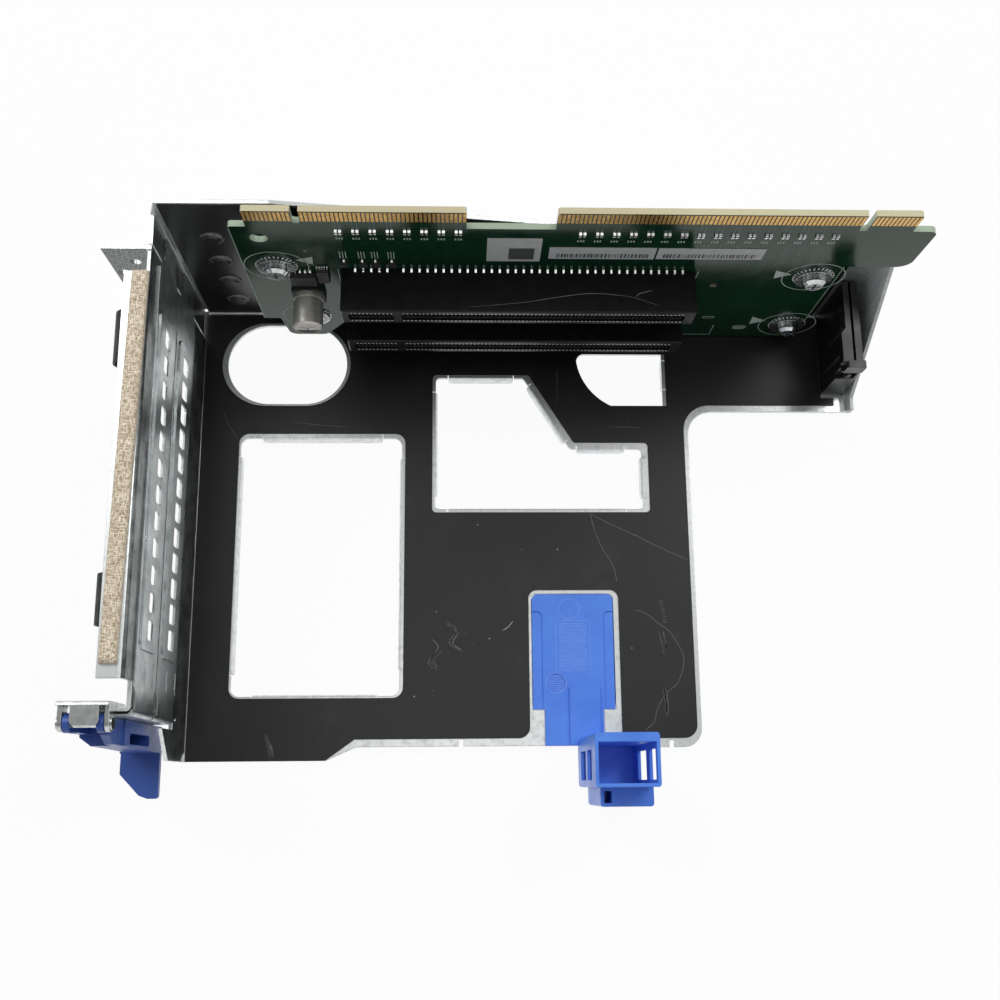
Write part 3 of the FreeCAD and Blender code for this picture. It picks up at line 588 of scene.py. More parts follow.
# Polycarbonate insulating film, matte side out: nearly black with a soft sheen
FILM = ScuffedFilm("insulating_film", "#171716", "#1A1A19", 0.36, patch_mm=30, spread=0.01, grain_mm=0.25,
                   grain_depth_mm=0.004, edge_mm=0.05)
# The same film on the back wall, stretched smooth over the bumps
BACK_FILM = ScuffedFilm("stretched_insulating_film", "#161615", "#1A1A19", 0.32, patch_mm=30, spread=0.01,
                        grain_mm=0.25, grain_depth_mm=0.003, edge_mm=0.15)
# Steel of the slot fillers, coloured darker and more even than the sheet: painted shade for the same metal
# seen against dark surroundings
FILLER_STEEL_PAINTED_DARK = Metal("filler_steel_painted_dark", "#C2C8C8", "#9CA2A2", 0.32, patch_mm=5.0, grain_mm=0.3,
                  grain_depth_mm=0.004, edge_mm=0.2, grain=Grain.PLATED)
# Spring steel of the hooks, coloured dark grey with little shine: painted shade for hooks on the shaded
# outer side of the wall
SPRING = Metal("spring_steel_painted_dark", "#3C3F3E", "#2B2E2D", 0.55, patch_mm=3.0, grain_mm=0.2,
               grain_depth_mm=0.003, metallic=0.2, specular=0.2, grain=Grain.BRUSHED, along=(1.0, 0.1, 1.0))
# Zinc-plated machine screws: bright, bluish and smooth
PLATED = Metal("zinc_plated_steel", "#D3D7D7", "#AEB3B3", 0.16, patch_mm=1.5, grain_mm=0.2,
               grain_depth_mm=0.002, edge_mm=0.15)
# Stamped bright steel of the latch bracket, nearly white where it faces the light
BRACKET = Metal("bright_stamped_steel", "#DADDDC", "#BCC0BF", 0.26, patch_mm=2.5, grain_mm=0.25,
                grain_depth_mm=0.003, edge_mm=0.25)
# Glossy solder mask on glass-fibre laminate: deep green, pale sawn edges
MASK = SolderMask("solder_mask", "#0D2C1D", "#123624", 0.14, patch_mm=8, spread=0.04, grain_mm=0.9,
                  grain_depth_mm=0.002, edge_mm=0.08, specular=0.24)
# Bare laminate where the mask stops just short of the sawn edge
RIM = Finish("bare_laminate_rim", "#93A895", "#7F9683", 0.4, patch_mm=2, grain_depth_mm=0.001, edge_mm=0)
# Copper under the mask: a shade lighter than the mask round it
TRACK = Finish("masked_copper", "#1B4B33", "#173F2B", 0.16, patch_mm=4, grain_depth_mm=0.001, edge_mm=0)
# Hard gold plating on the contacts, slightly orange
GOLD = Metal("hard_gold_plating", "#DDB46C", "#C2974F", 0.3, patch_mm=0.8, grain_mm=0.15,
             grain_depth_mm=0.002, edge_mm=0.05)
# Tin solder on the leads and the chip ends: smooth and nearly mirror-bright
SOLDER = Metal("tin_solder", "#FAFBFB", "#E8EAEA", 0.2, patch_mm=0.5, grain_mm=0.1, grain_depth_mm=0.001,
               edge_mm=0.03)
# Glass-filled liquid-crystal polymer: near black with a fine dry grain
HOUSING = Finish("glass_filled_polymer", "#101011", "#151516", 0.4, patch_mm=3, grain_mm=0.18,
                 grain_depth_mm=0.006, edge_mm=0.15, specular=0.2)
# Pale dots along the comb's teeth: painted highlight where the light catches the teeth's edges
TOOTH_HIGHLIGHT = Finish("painted_tooth_highlight", "#E6E8EA", "#CDCFD2", 0.4, patch_mm=1, grain_mm=0.1,
                    grain_depth_mm=0.001, edge_mm=0)
# Drawn aluminium can: satin, with fine turned lines
ALUMINIUM = Metal("drawn_aluminium", "#D6D3CC", "#C2BFB8", 0.46, patch_mm=2, metallic=0.8, grain_mm=0.2,
                  grain_depth_mm=0.004, edge_mm=0.2, grain=Grain.BRUSHED, along=(1.0, 0.15, 1.0))
# Epoxy moulding compound of the chips: matte charcoal, also used for the painted shade between the washer
# teeth
EPOXY = Finish("epoxy_moulding", "#1F1F20", "#29292A", 0.6, patch_mm=1.5, grain_mm=0.12,
               grain_depth_mm=0.004, edge_mm=0.1)
# Fired ceramic of the chip capacitors: warm grey-brown
CERAMIC = Finish("fired_ceramic", "#7A6A55", "#66584A", 0.45, patch_mm=0.6, grain_mm=0.1,
                 grain_depth_mm=0.001, edge_mm=0.06)
# Moulded nylon guide: black with a soft shine
NYLON = Finish("moulded_nylon", "#121314", "#191A1B", 0.36, patch_mm=4, grain_mm=0.3, grain_depth_mm=0.006,
               edge_mm=0.25)
# Moulded ABS pull: bright blue, slightly waxy
PULL_BLUE = Finish("moulded_blue_abs", "#558EF5", "#4C84EC", 0.36, patch_mm=7, grain_mm=0.5,
                   grain_depth_mm=0.004, edge_mm=0.3)
# The same moulded ABS in the latch, a deeper blue
LATCH_BLUE = Finish("moulded_deep_blue_abs", "#3457A8", "#2E4F9C", 0.36, patch_mm=4, grain_mm=0.5,
                    grain_depth_mm=0.004, edge_mm=0.25)
# Coated paper labels: soft white with a faint fibre
PAPER = Finish("coated_paper", "#BCBFBD", "#B1B4B2", 0.62, patch_mm=3, grain_mm=0.15, grain_depth_mm=0.003,
               edge_mm=0.05)
# Screen-printed legend ink on the board: thin greyish white
LEGEND = Finish("legend_ink", "#B9C4BD", "#A3B0A8", 0.55, patch_mm=0.8, grain_mm=0.1, grain_depth_mm=0.002,
                edge_mm=0)
# Thermal print on the labels: flat dark grey, also used for the painted shade in the can's vent lines
PRINT = Finish("thermal_print", "#3A3D3C", "#454847", 0.6, patch_mm=0.6, grain_mm=0.1, grain_depth_mm=0.001,
               edge_mm=0)
# Contacts coloured a dark grey-brown: painted shade for contacts that sit deep in the housing
CONTACT = Metal("contact_metal_painted_dark", "#4A4843", "#34322E", 0.4, patch_mm=0.8, grain_mm=0.15,
                grain_depth_mm=0.002, edge_mm=0)
# Ridges that the mould left on the pull, coloured a little paler than the plate as their painted highlight
RIDGE = Finish("blue_abs_painted_highlight", "#83AEFB", "#6F9CF4", 0.34, patch_mm=2, grain_depth_mm=0.002, edge_mm=0)
# Nickel-and-silver cloth over foam, in a plain weave of about 0.3 mm threads, with painted shade in the
# valleys of the weave
GASKET = WovenCloth("conductive_cloth", "#A89478", "#FBEFD9", 0.7, patch_mm=2.5, grain_depth_mm=0.06,
                    edge_mm=0)
# Burnished film and plastic scratched pale; the same pale colour paints the highlights on the back film's
# bumps
SCRATCH_AND_HIGHLIGHT = Finish("rubbed_film", "#9A9A98", "#77777A", 0.5, patch_mm=1.2, grain_mm=0.2, grain_depth_mm=0.002,
                 edge_mm=0)
# The same, fainter: a smear of fine rubbing
SMEAR = Finish("faintly_rubbed_film", "#6E6E6A", "#50504D", 0.5, patch_mm=0.7, grain_mm=0.2,
               grain_depth_mm=0.002, edge_mm=0)


class Draft:
    """Closed shapes drawn on one face of the cage, gathered into one piece."""

    def __init__(self, side: Side, level: float) -> None:
        """Starts an empty draft.

        Args:
            side: the face that is drawn on.
            level: where that face lies along its own axis, in millimetres.
        """
        self.side = side
        self.level = level
        self.mesh = bmesh.new()

    def spot(self, u: float, v: float, out: float) -> bmesh.types.BMVert:
        """Adds a point at a height above the face."""
        return self.mesh.verts.new(self.side.place(u, v, self.level + self.side.outward * out))

    def slab(self, outline: list[Point], thick: float, base: float = CLEAR, lean: float = 0.0) -> None:
        """Adds a flat closed shape.

        Args:
            outline: corners in order.
            thick: its thickness.
            base: height of its underside above the face.
            lean: how far the upper edge of its outer face lies below that of its underside.
        """
        top = max(v for _, v in outline)
        low = [self.spot(u, v, base) for u, v in outline]
        high = [self.spot(u, v - lean if v == top else v, base + thick) for u, v in outline]
        self.mesh.faces.new(list(reversed(low)))
        self.mesh.faces.new(high)
        for i in range(len(low)):
            j = (i + 1) % len(low)
            self.mesh.faces.new([low[i], low[j], high[j], high[i]])

    def box(self, u: Point, v: Point, thick: float, base: float = CLEAR, lean: float = 0.0) -> None:
        """Adds a block between two values on each drawing axis."""
        self.slab([(u[0], v[0]), (u[1], v[0]), (u[1], v[1]), (u[0], v[1])], thick, base, lean)

    def ring(self, centre: Point, outer: float, inner: float, thick: float, arc: Point = (0.0, 1.0),
             steps: int = 40) -> None:
        """Adds a flat ring or a part of one.

        Args:
            centre: its middle.
            outer: outer radius.
            inner: inner radius.
            thick: its thickness.
            arc: start and end as parts of a full turn.
            steps: segments of a full turn.
        """
        whole = arc[1] - arc[0] >= 1.0
        count = max(3, round(steps * (arc[1] - arc[0])))
        rows = []
        for i in range(count if whole else count + 1):
            angle = FULL_TURN * (arc[0] + (arc[1] - arc[0]) * i / count)
            row = []
            for radius, rise in ((inner, 0.0), (outer, 0.0), (outer, thick), (inner, thick)):
                row.append(self.spot(centre[0] + radius * math.cos(angle),
                                     centre[1] + radius * math.sin(angle), CLEAR + rise))
            rows.append(row)
        pairs = list(zip(rows, rows[1:] + rows[:1])) if whole else list(zip(rows, rows[1:]))
        for a, b in pairs:
            for k in range(4):
                n = (k + 1) % 4
                self.mesh.faces.new([a[k], b[k], b[n], a[n]])
        if not whole:
            self.mesh.faces.new(list(reversed(rows[0])))
            self.mesh.faces.new(rows[-1])

    def stroke(self, points: list[Point], width: float, thick: float, taper: bool = False) -> None:
        """Adds a thin line that follows some points.

        Args:
            points: middle of the line.
            width: its width.
            thick: its thickness.
            taper: whether it thins towards its ends.
        """
        left, right = [], []
        for i, (u, v) in enumerate(points):
            before = points[max(i - 1, 0)]
            after = points[min(i + 1, len(points) - 1)]
            du, dv = after[0] - before[0], after[1] - before[1]
            length = math.hypot(du, dv) or 1.0
            part = i / (len(points) - 1)
            half = width / 2 * (TAPER_TIP + (1 - TAPER_TIP) * math.sin(math.pi * part) if taper else 1.0)
            left.append((u - dv / length * half, v + du / length * half))
            right.append((u + dv / length * half, v - du / length * half))
        for i in range(len(points) - 1):
            self.slab([left[i], right[i], right[i + 1], left[i + 1]], thick)

    def ribbon(self, rows: list[list[tuple[float, float, float]]]) -> None:
        """Adds a thin band that follows a curved surface.

        Args:
            rows: pairs of points across the band, each with its height above the face.
        """
        rings = []
        for row in rows:
            low = [self.spot(u, v, out - CLEAR) for u, v, out in row]
            high = [self.spot(u, v, out) for u, v, out in reversed(row)]
            rings.append(low + high)
        for a, b in zip(rings, rings[1:]):
            for k in range(4):
                n = (k + 1) % 4
                self.mesh.faces.new([a[k], b[k], b[n], a[n]])
        self.mesh.faces.new(list(reversed(rings[0])))
        self.mesh.faces.new(rings[-1])

    def dome(self, centre: Point, radius: float, rise: float, stretch: float = 1.0, steps: int = 10) -> None:
        """Adds a low round dome.

        Args:
            centre: its middle.
            radius: radius of its foot.
            rise: its height.
            stretch: its length over its width, along the second drawing axis.
            steps: segments round it.
        """
        rows = []
        for level in DOME_LEVELS:
            shrink = math.sqrt(1 - level * level)
            row = []
            for i in range(steps):
                angle = FULL_TURN * i / steps
                row.append(self.spot(centre[0] + radius * shrink * math.cos(angle),
                                     centre[1] + radius * stretch * shrink * math.sin(angle),
                                     CLEAR + rise * level))
            rows.append(row)
        top = self.spot(centre[0], centre[1], CLEAR + rise)
        self.mesh.faces.new(list(reversed(rows[0])))
        for low, high in zip(rows, rows[1:]):
            for i in range(steps):
                j = (i + 1) % steps
                self.mesh.faces.new([low[i], low[j], high[j], high[i]])
        for i in range(steps):
            self.mesh.faces.new([rows[-1][i], rows[-1][(i + 1) % steps], top])

    def piece(self, name: str, finish: Finish, slot: str, body: str = "cage",
              smooth: bool = False) -> None:
        """Turns the draft into a piece that rides on a body.

        Args:
            name: name of the piece.
            finish: its finish.
            slot: material slot of the record that it follows; not used.
            body: the body that it moves with.
            smooth: whether its faces shade smoothly.
        """
        bmesh.ops.recalc_face_normals(self.mesh, faces=self.mesh.faces[:])
        data = bpy.data.meshes.new(name)
        self.mesh.to_mesh(data)
        self.mesh.free()
        data.materials.append(finish.material())
        for face in data.polygons:
            face.use_smooth = smooth
        made = bpy.data.objects.new(name, data)
        bpy.context.scene.collection.objects.link(made)
        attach(made, body)
        LOG.info("%s: %d faces on %s", name, len(data.polygons), body)


def dress(node: str, finish: Finish) -> None:
    """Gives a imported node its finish.

    Args:
        node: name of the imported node.
        finish: its finish.
    """
    made = finish.material()
    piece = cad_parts[node]
    for holder in piece.material_slots:
        holder.material = made
    LOG.info("%s: %s", node, finish.name)


@dataclass
class SheetCage:
    """Folded sheet, films, slot fillers, springs and the film's loose corner over the rear relief."""

    film_top: float = -40.75
    flap_x: Point = (-43.6, -41.9)
    flap_y: Point = (-1.9, 6.9)
    flap_thick: float = 0.05

    def build(self) -> None:
        """Dresses the sheet parts and adds the film's loose corner."""
        dress("cage_sheet", GALVANISED)
        dress("base_film", FILM)
        dress("back_film", BACK_FILM)
        for node in ("filler_upper", "filler_lower"):
            dress(node, FILLER_STEEL_PAINTED_DARK)
        dress("spring_hooks", SPRING)
        flap = Draft(Side.FLOOR, self.film_top)
        flap.box(self.flap_x, self.flap_y, self.flap_thick)
        flap.piece("film_corner", FILM, "dark_film")


@dataclass
class BumpedFilm:
    """Painted highlights: pale arcs on the back film's round bumps, where their rims catch the light."""

    x: float = -31.6
    heights: tuple = (7.2, -5.6, -17.9, -30.1)
    foot_radius: float = 3.5
    top_radius: float = 2.0
    rise: float = 1.35
    film_face: float = 6.7
    rim_radius: float = 2.8
    rim_least: float = 0.04
    rim_growth: float = 0.26
    arc_start: float = 170.0
    arc_length: float = 200.0
    swell: float = 1.6
    steps: int = 16

    def build(self) -> None:
        """Lays an arc of painted highlight on each bump's slope."""
        pale = Draft(Side.BOARD, self.film_face)
        slope = self.rise / (self.foot_radius - self.top_radius)
        for height in self.heights:
            rows = []
            for i in range(self.steps + 1):
                part = i / self.steps
                angle = math.radians(self.arc_start - self.arc_length * part)
                half = self.rim_least + self.rim_growth * math.sin(math.pi * part ** self.swell)
                row = []
                for radius in (self.rim_radius - half, self.rim_radius + half):
                    row.append((self.x + radius * math.cos(angle), height + radius * math.sin(angle),
                                slope * (self.foot_radius - radius) + CLEAR))
                rows.append(row)
            pale.ribbon(rows)
        pale.piece("painted_bump_highlights", SCRATCH_AND_HIGHLIGHT, "dark_film")


@dataclass
class FloorWear:
    """Scratches, nicks and rubbed patches on the floor film."""

    film_top: float = SheetCage.film_top
    line_width: float = 0.16
    long_lines: tuple = (
        ((65.9, -52.5), (66.8, -56.9), (68.9, -62.2), (71.7, -67.1), (72.6, -71.4)),
        ((65.9, -52.5), (71.7, -55.6), (78.2, -58.6), (84.6, -61.9), (92.4, -65.5)),
        ((77.4, -79.3), (80.6, -80.5), (83.7, -83.1), (86.8, -85.6), (89.8, -91.1), (89.9, -94.6),
         (88.2, -99.0), (85.5, -101.4), (83.5, -103.9), (82.1, -107.0), (81.4, -109.5), (79.1, -111.3)),
    )
    faint_lines: tuple = (
        ((-36.6, -22.5), (-35.3, -26.1), (-33.2, -29.3), (-32.2, -31.0)),
        ((-17.3, -26.0), (-9.5, -26.9), (-1.6, -27.5)),
        ((57.2, -10.0), (57.4, -13.4), (57.2, -20.8)),
        ((71.0, -27.3), (76.3, -27.3), (81.2, -27.6)),
    )
    nick: tuple = ((41.1, -84.8), (42.6, -83.9), (44.0, -82.3))
    nick_width: float = 0.35
    dents: tuple = ((23.3, -79.6), (37.6, -87.0), (34.6, -55.5), (56.5, -62.5), (76.1, -89.7),
                    (17.5, -102.3))
    dent_radius: Point = (0.12, 0.25)
    rubbings: tuple = (
        ((26.5, -82.8), (29.1, -84.8), (27.2, -87.9), (30.5, -90.2)),
        ((22.4, -87.3), (24.3, -89.8), (21.8, -92.9), (23.1, -94.8)),
        ((84.3, -85.0), (84.7, -88.2), (85.2, -91.4)),
        ((-21.8, -112.3), (-20.7, -114.4), (-20.1, -115.9), (-19.8, -118.0)),
        ((84.3, -100.2), (84.8, -103.3), (84.9, -107.7)),
    )
    strands: int = 7
    strand_width: Point = (0.1, 0.3)
    strand_shift: Point = (0.7, 0.5)
    comb_start: Point = (84.1, -77.2)
    comb_step: Point = (0.12, -0.72)
    comb_tooth: Point = (0.9, 0.5)
    comb_teeth: int = 9
    comb_width: float = 0.12
    seed: int = 5

    def build(self) -> None:
        """Draws the scratches, the bright nicks and the rubbed patches."""
        fine = Draft(Side.FLOOR, self.film_top)
        for line in self.long_lines:
            fine.stroke(smooth_line(list(line)), self.line_width, CLEAR)
        for line in self.faint_lines:
            fine.stroke(smooth_line(list(line)), self.line_width, CLEAR, taper=True)
        fine.piece("film_scratches", SMEAR, "dark_film")
        bright = Draft(Side.FLOOR, self.film_top)
        bright.stroke(smooth_line(list(self.nick)), self.nick_width, CLEAR, taper=True)
        luck = random.Random(self.seed)
        for spot in self.dents:
            bright.dome(spot, luck.uniform(*self.dent_radius), CLEAR, steps=6)
        bright.piece("film_nicks", SCRATCH_AND_HIGHLIGHT, "dark_film")
        self.rub(luck)

    def rub(self, luck: random.Random) -> None:
        """Draws the rubbed patches and the comb-like mark.

        Args:
            luck: source of the random draws, as the nicks left it.
        """
        rubbed = Draft(Side.FLOOR, self.film_top)
        for line in self.rubbings:
            for _ in range(self.strands):
                shift = [luck.uniform(-most, most) for most in self.strand_shift]
                start = luck.randint(0, len(line) - 2)
                strand = [(u + shift[0], v + shift[1]) for u, v in line[start:start + 3]]
                rubbed.stroke(smooth_line(strand, 5), luck.uniform(*self.strand_width), CLEAR, taper=True)
        for i in range(self.comb_teeth):
            u = self.comb_start[0] + i * self.comb_step[0]
            v = self.comb_start[1] + i * self.comb_step[1]
            rubbed.stroke([(u, v), (u + self.comb_tooth[0], v + self.comb_tooth[1])], self.comb_width, CLEAR)
        rubbed.piece("film_rubbing", SMEAR, "dark_film")


@dataclass
class Gasket:
    """Foam strip wrapped in woven conductive cloth, glued on the outward flange."""

    front_left: float = -48.1
    back_left: float = -46.6
    width: float = 4.0
    front: float = -99.2
    back: float = -8.3
    foot: float = 19.6
    glue: float = 0.02
    rise: float = 1.55
    end_share: float = 0.72
    sway: float = 0.02
    side_power: float = 0.55
    crown_power: float = 0.45
    steps: int = 150
    rows: int = 12
    seed: int = 11

    def build(self) -> None:
        """Makes the crowned strip with its slightly uneven surface."""
        luck = random.Random(self.seed)
        mesh = bmesh.new()
        rings = []
        waver = [luck.uniform(-1, 1) for _ in range(self.steps + 3)]
        half = self.width / 2
        for i in range(self.steps + 1):
            v = self.front + (self.back - self.front) * i / self.steps
            sway = self.sway * (waver[i] + waver[i + 1] + waver[i + 2]) / 3
            middle = half + self.front_left + (self.back_left - self.front_left) * i / self.steps
            end = min(i, self.steps - i) / 2
            pinch = self.end_share + (1 - self.end_share) * min(1.0, end)
            ring = []
            for k in range(self.rows + 1):
                angle = math.pi * k / self.rows
                bend = math.copysign(abs(math.cos(angle)) ** self.side_power, math.cos(angle))
                top = self.foot + self.glue + self.rise * pinch * math.sin(angle) ** self.crown_power
                ring.append(mesh.verts.new(Side.FLOOR.place(middle + sway - half * bend, v, top)))
            rings.append(ring)
        for a, b in zip(rings, rings[1:]):
            for k in range(self.rows):
                mesh.faces.new([a[k], a[k + 1], b[k + 1], b[k]])
            mesh.faces.new([a[-1], a[0], b[0], b[-1]])
        mesh.faces.new(rings[0])
        mesh.faces.new(list(reversed(rings[-1])))
        bmesh.ops.recalc_face_normals(mesh, faces=mesh.faces[:])
        data = bpy.data.meshes.new("gasket_strip")
        mesh.to_mesh(data)
        mesh.free()
        data.materials.append(GASKET.material())
        for face in data.polygons:
            face.use_smooth = len(face.vertices) == 4
        strip = bpy.data.objects.new("gasket_strip", data)
        bpy.context.scene.collection.objects.link(strip)
        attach(strip, "cage")
        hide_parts("emi_gasket")
        LOG.info("gasket_strip: %d faces", len(data.polygons))


@dataclass
class Connector:
    """Card connector: comb ribs over the slot, dots of painted highlight along its teeth and soldered tails.

    Args:
        name: which of the two it is.
        mid: height of its centre line.
    """

    name: str
    mid: float
    depth: float = 11.25
    half: float = 3.75
    slot_half: float = 0.9
    comb_half: float = 1.9
    slot_floor: float = -2.9
    recess: float = 0.45
    key: float = 14.1
    pitch: float = 1.0
    first: float = 1.5
    short_row: int = 11
    long_row: int = 71
    rib: float = 0.38
    rib_gap: float = 0.02
    dot_shift: float = 0.28
    dot_half: Point = (0.24, 0.2)
    dot_thick: float = 0.01
    bead_shift: float = 0.42
    bead_radius: float = 0.42
    bead_rise: float = 0.4
    bead_stretch: float = 1.05
    pin_half: float = 0.24
    pin_height: float = 0.75
    pin_reach: float = 1.0
    pin_lean: float = 0.28

    def places(self) -> list[float]:
        """Contact positions along x."""
        short = [self.key - self.first - i * self.pitch for i in range(self.short_row)]
        return short[::-1] + [self.key + self.first + i * self.pitch for i in range(self.long_row)]

    def build(self) -> None:
        """Dresses the housing and contacts, then adds ribs, dots of painted highlight and solder."""
        dress("connector_" + self.name, HOUSING)
        dress("contacts_" + self.name, CONTACT)
        self.comb()
        self.highlight_dots()
        self.solder()

    def comb(self) -> None:
        """Adds the ribs between neighbouring contacts."""
        ribs = Draft(Side.BOARD, self.slot_floor)
        outer = self.comb_half - self.rib_gap
        reach = self.depth + self.slot_floor - self.recess
        row = self.places()
        for here, after in zip(row, row[1:]):
            if after - here > 2 * self.pitch:
                continue
            u = (here + after) / 2
            for sign in (1, -1):
                ends = sorted((self.mid + sign * self.slot_half, self.mid + sign * outer))
                ribs.box((u - self.rib / 2, u + self.rib / 2), (ends[0], ends[1]), reach)
        ribs.piece("comb_ribs_" + self.name, HOUSING, "connector_black")

    def highlight_dots(self) -> None:
        """Adds dots of painted highlight along both edges of the slot, where the light catches the comb's
        teeth.
        """
        dots = Draft(Side.BOARD, -self.depth)
        wide, high = self.dot_half
        for u in self.places():
            for sign in (1, -1):
                v = self.mid + sign * (self.comb_half + self.dot_shift)
                dots.box((u - wide, u + wide), (v - high, v + high), self.dot_thick, base=0.0)
        dots.piece("tooth_highlights_" + self.name, TOOTH_HIGHLIGHT, "connector_black")

    def solder(self) -> None:
        """Adds the soldered tails along the top edge of the housing, at every second contact."""
        ends = Draft(Side.BOARD, 0.0)
        pins = Draft(Side.BOARD, 0.0)
        top = self.mid + self.half
        for u in self.places()[1::2]:
            ends.dome((u, top + self.bead_shift), self.bead_radius, self.bead_rise, self.bead_stretch)
            pins.box((u - self.pin_half, u + self.pin_half), (top, top + self.pin_height), self.pin_reach,
                     lean=self.pin_lean)
        ends.piece("solder_ends_" + self.name, SOLDER, "contact_gold", smooth=True)
        pins.piece("tail_pins_" + self.name, SOLDER, "contact_gold")


@dataclass
class BoardPrint:
    """Legend on the front of the board: screw rings, arrows, outlines and label fields."""

    screws: tuple = ((-15.7, 5.2), (-10.6, -26.5), (119.8, 0.65), (121.6, -31.0))
    ring_radius: float = 8.0
    ring_arcs: tuple = ((0.0, 1.0), (0.06, 0.62), (0.0, 1.0), (0.0, 1.0))
    line: float = 0.22
    ink: float = 0.02
    arrows: tuple = (
        ((-10.56, 8.75), (-6.28, 10.63), (-6.63, 6.28)),
        ((113.76, 2.23), (109.28, 4.52), (109.78, -0.22)),
        ((114.95, -28.37), (110.68, -25.59), (110.86, -30.88)),
    )
    chip_marks: tuple = (-0.75, -0.05, 0.6)
    chip_mark_u: Point = (-0.16, 0.2)
    chip_mark_v: Point = (-4.3, -3.4)
    lead_marks: Point = (10.0, 13.6)
    corner: tuple = ((93.6, -38.8), (101.2, -38.7), (101.1, -31.9))
    end_lines: Point = (89.75, -0.75)
    end_half: float = 3.6
    oval_u: Point = (97.3, 99.4)
    oval_v: float = -26.1
    oval_radii: Point = (0.65, 0.47)
    oval_line: float = 0.176
    rims: tuple = (((-23.84, 25.4), (-23.84, -28.14), (-19.4, -28.14)), ((125.84, 6.8), (125.84, -40.0)))
    rim_width: float = 0.26
    label_face: float = -0.12
    label_block: tuple = ((41.4, 47.6), (10.2, 16.3))
    bar_rows: tuple = ((53.0, 75.6, 11.5, 13.6), (79.2, 102.2, 11.6, 13.7))
    bar_widths: tuple = (0.18, 0.36, 0.54)
    bar_gaps: tuple = (0.22, 0.4)
    bar_thick: float = 0.01
    seed: int = 3

    def build(self) -> None:
        """Draws the legend, the bare rims and the label print."""
        self.legend()
        rim = Draft(Side.BOARD, 0.0)
        for path in self.rims:
            rim.stroke(list(path), self.rim_width, self.ink)
        rim.piece("board_rim", RIM, "board_green")
        self.labels()

    def legend(self) -> None:
        """Draws rings, arrows and outlines."""
        ink = Draft(Side.BOARD, 0.0)
        for centre, arc in zip(self.screws, self.ring_arcs):
            ink.ring(centre, self.ring_radius, self.ring_radius - self.line, self.ink, arc, steps=72)
        for arrow in self.arrows:
            ink.slab(list(arrow), self.ink)
        for start, v, count in BoardParts.chip_rows:
            for i in range(count):
                for shift in self.chip_marks:
                    u = start + i * BoardParts.chip_step + shift
                    ink.box((u + self.chip_mark_u[0], u + self.chip_mark_u[1]),
                            (v + self.chip_mark_v[0], v + self.chip_mark_v[1]), self.ink)
        for u in BoardParts.transistors:
            for shift in BoardParts.lead_shifts:
                ink.stroke([(u + shift, v) for v in self.lead_marks], self.line, self.ink)
        ink.stroke(list(self.corner), self.line, self.ink)
        for mid in CONNECTORS.values():
            for u in self.end_lines:
                ink.stroke([(u, mid + self.end_half), (u, mid - self.end_half)], self.line, self.ink)
        self.oval(ink)
        ink.piece("board_legend", LEGEND, "label_white")

    def oval(self, ink: Draft) -> None:
        """Draws the small empty oval.

        Args:
            ink: the draft that takes it.
        """
        outer, inner = self.oval_radii
        for u, arc in zip(self.oval_u, ((0.25, 0.75), (-0.25, 0.25))):
            ink.ring((u, self.oval_v), outer, inner, self.ink, arc, steps=24)
        for sign in (1, -1):
            v = self.oval_v + sign * (outer + inner) / 2
            ink.stroke([(u, v) for u in self.oval_u], self.oval_line, self.ink)

    def labels(self) -> None:
        """Draws plain fields and bars on the three labels."""
        bars = Draft(Side.BOARD, self.label_face)
        bars.box(*self.label_block, self.bar_thick)
        luck = random.Random(self.seed)
        for start, stop, low, high in self.bar_rows:
            u = start
            while u < stop:
                width = luck.choice(self.bar_widths)
                bars.box((u, min(u + width, stop)), (low, high), self.bar_thick)
                u += width + luck.choice(self.bar_gaps)
        bars.piece("label_bars", PRINT, "label_white")


@dataclass(frozen=True)
class Lead:
    """Size of a lead and of the solder dome at its foot."""

    half: float
    rise: float
    lean: float
    dome_radius: float
    dome_rise: float

    def draw(self, tin: Draft, u: float, foot: float, root: float) -> None:
        """Adds one soldered lead.

        Args:
            tin: the draft that takes it.
            u: where its middle lies along x.
            foot: height of its soldered end.
            root: height of its end at the package.
        """
        low, high = sorted((foot, root))
        tin.box((u - self.half, u + self.half), (low, high), self.rise, lean=self.lean)
        tin.dome((u, foot), self.dome_radius, self.dome_rise, steps=8)


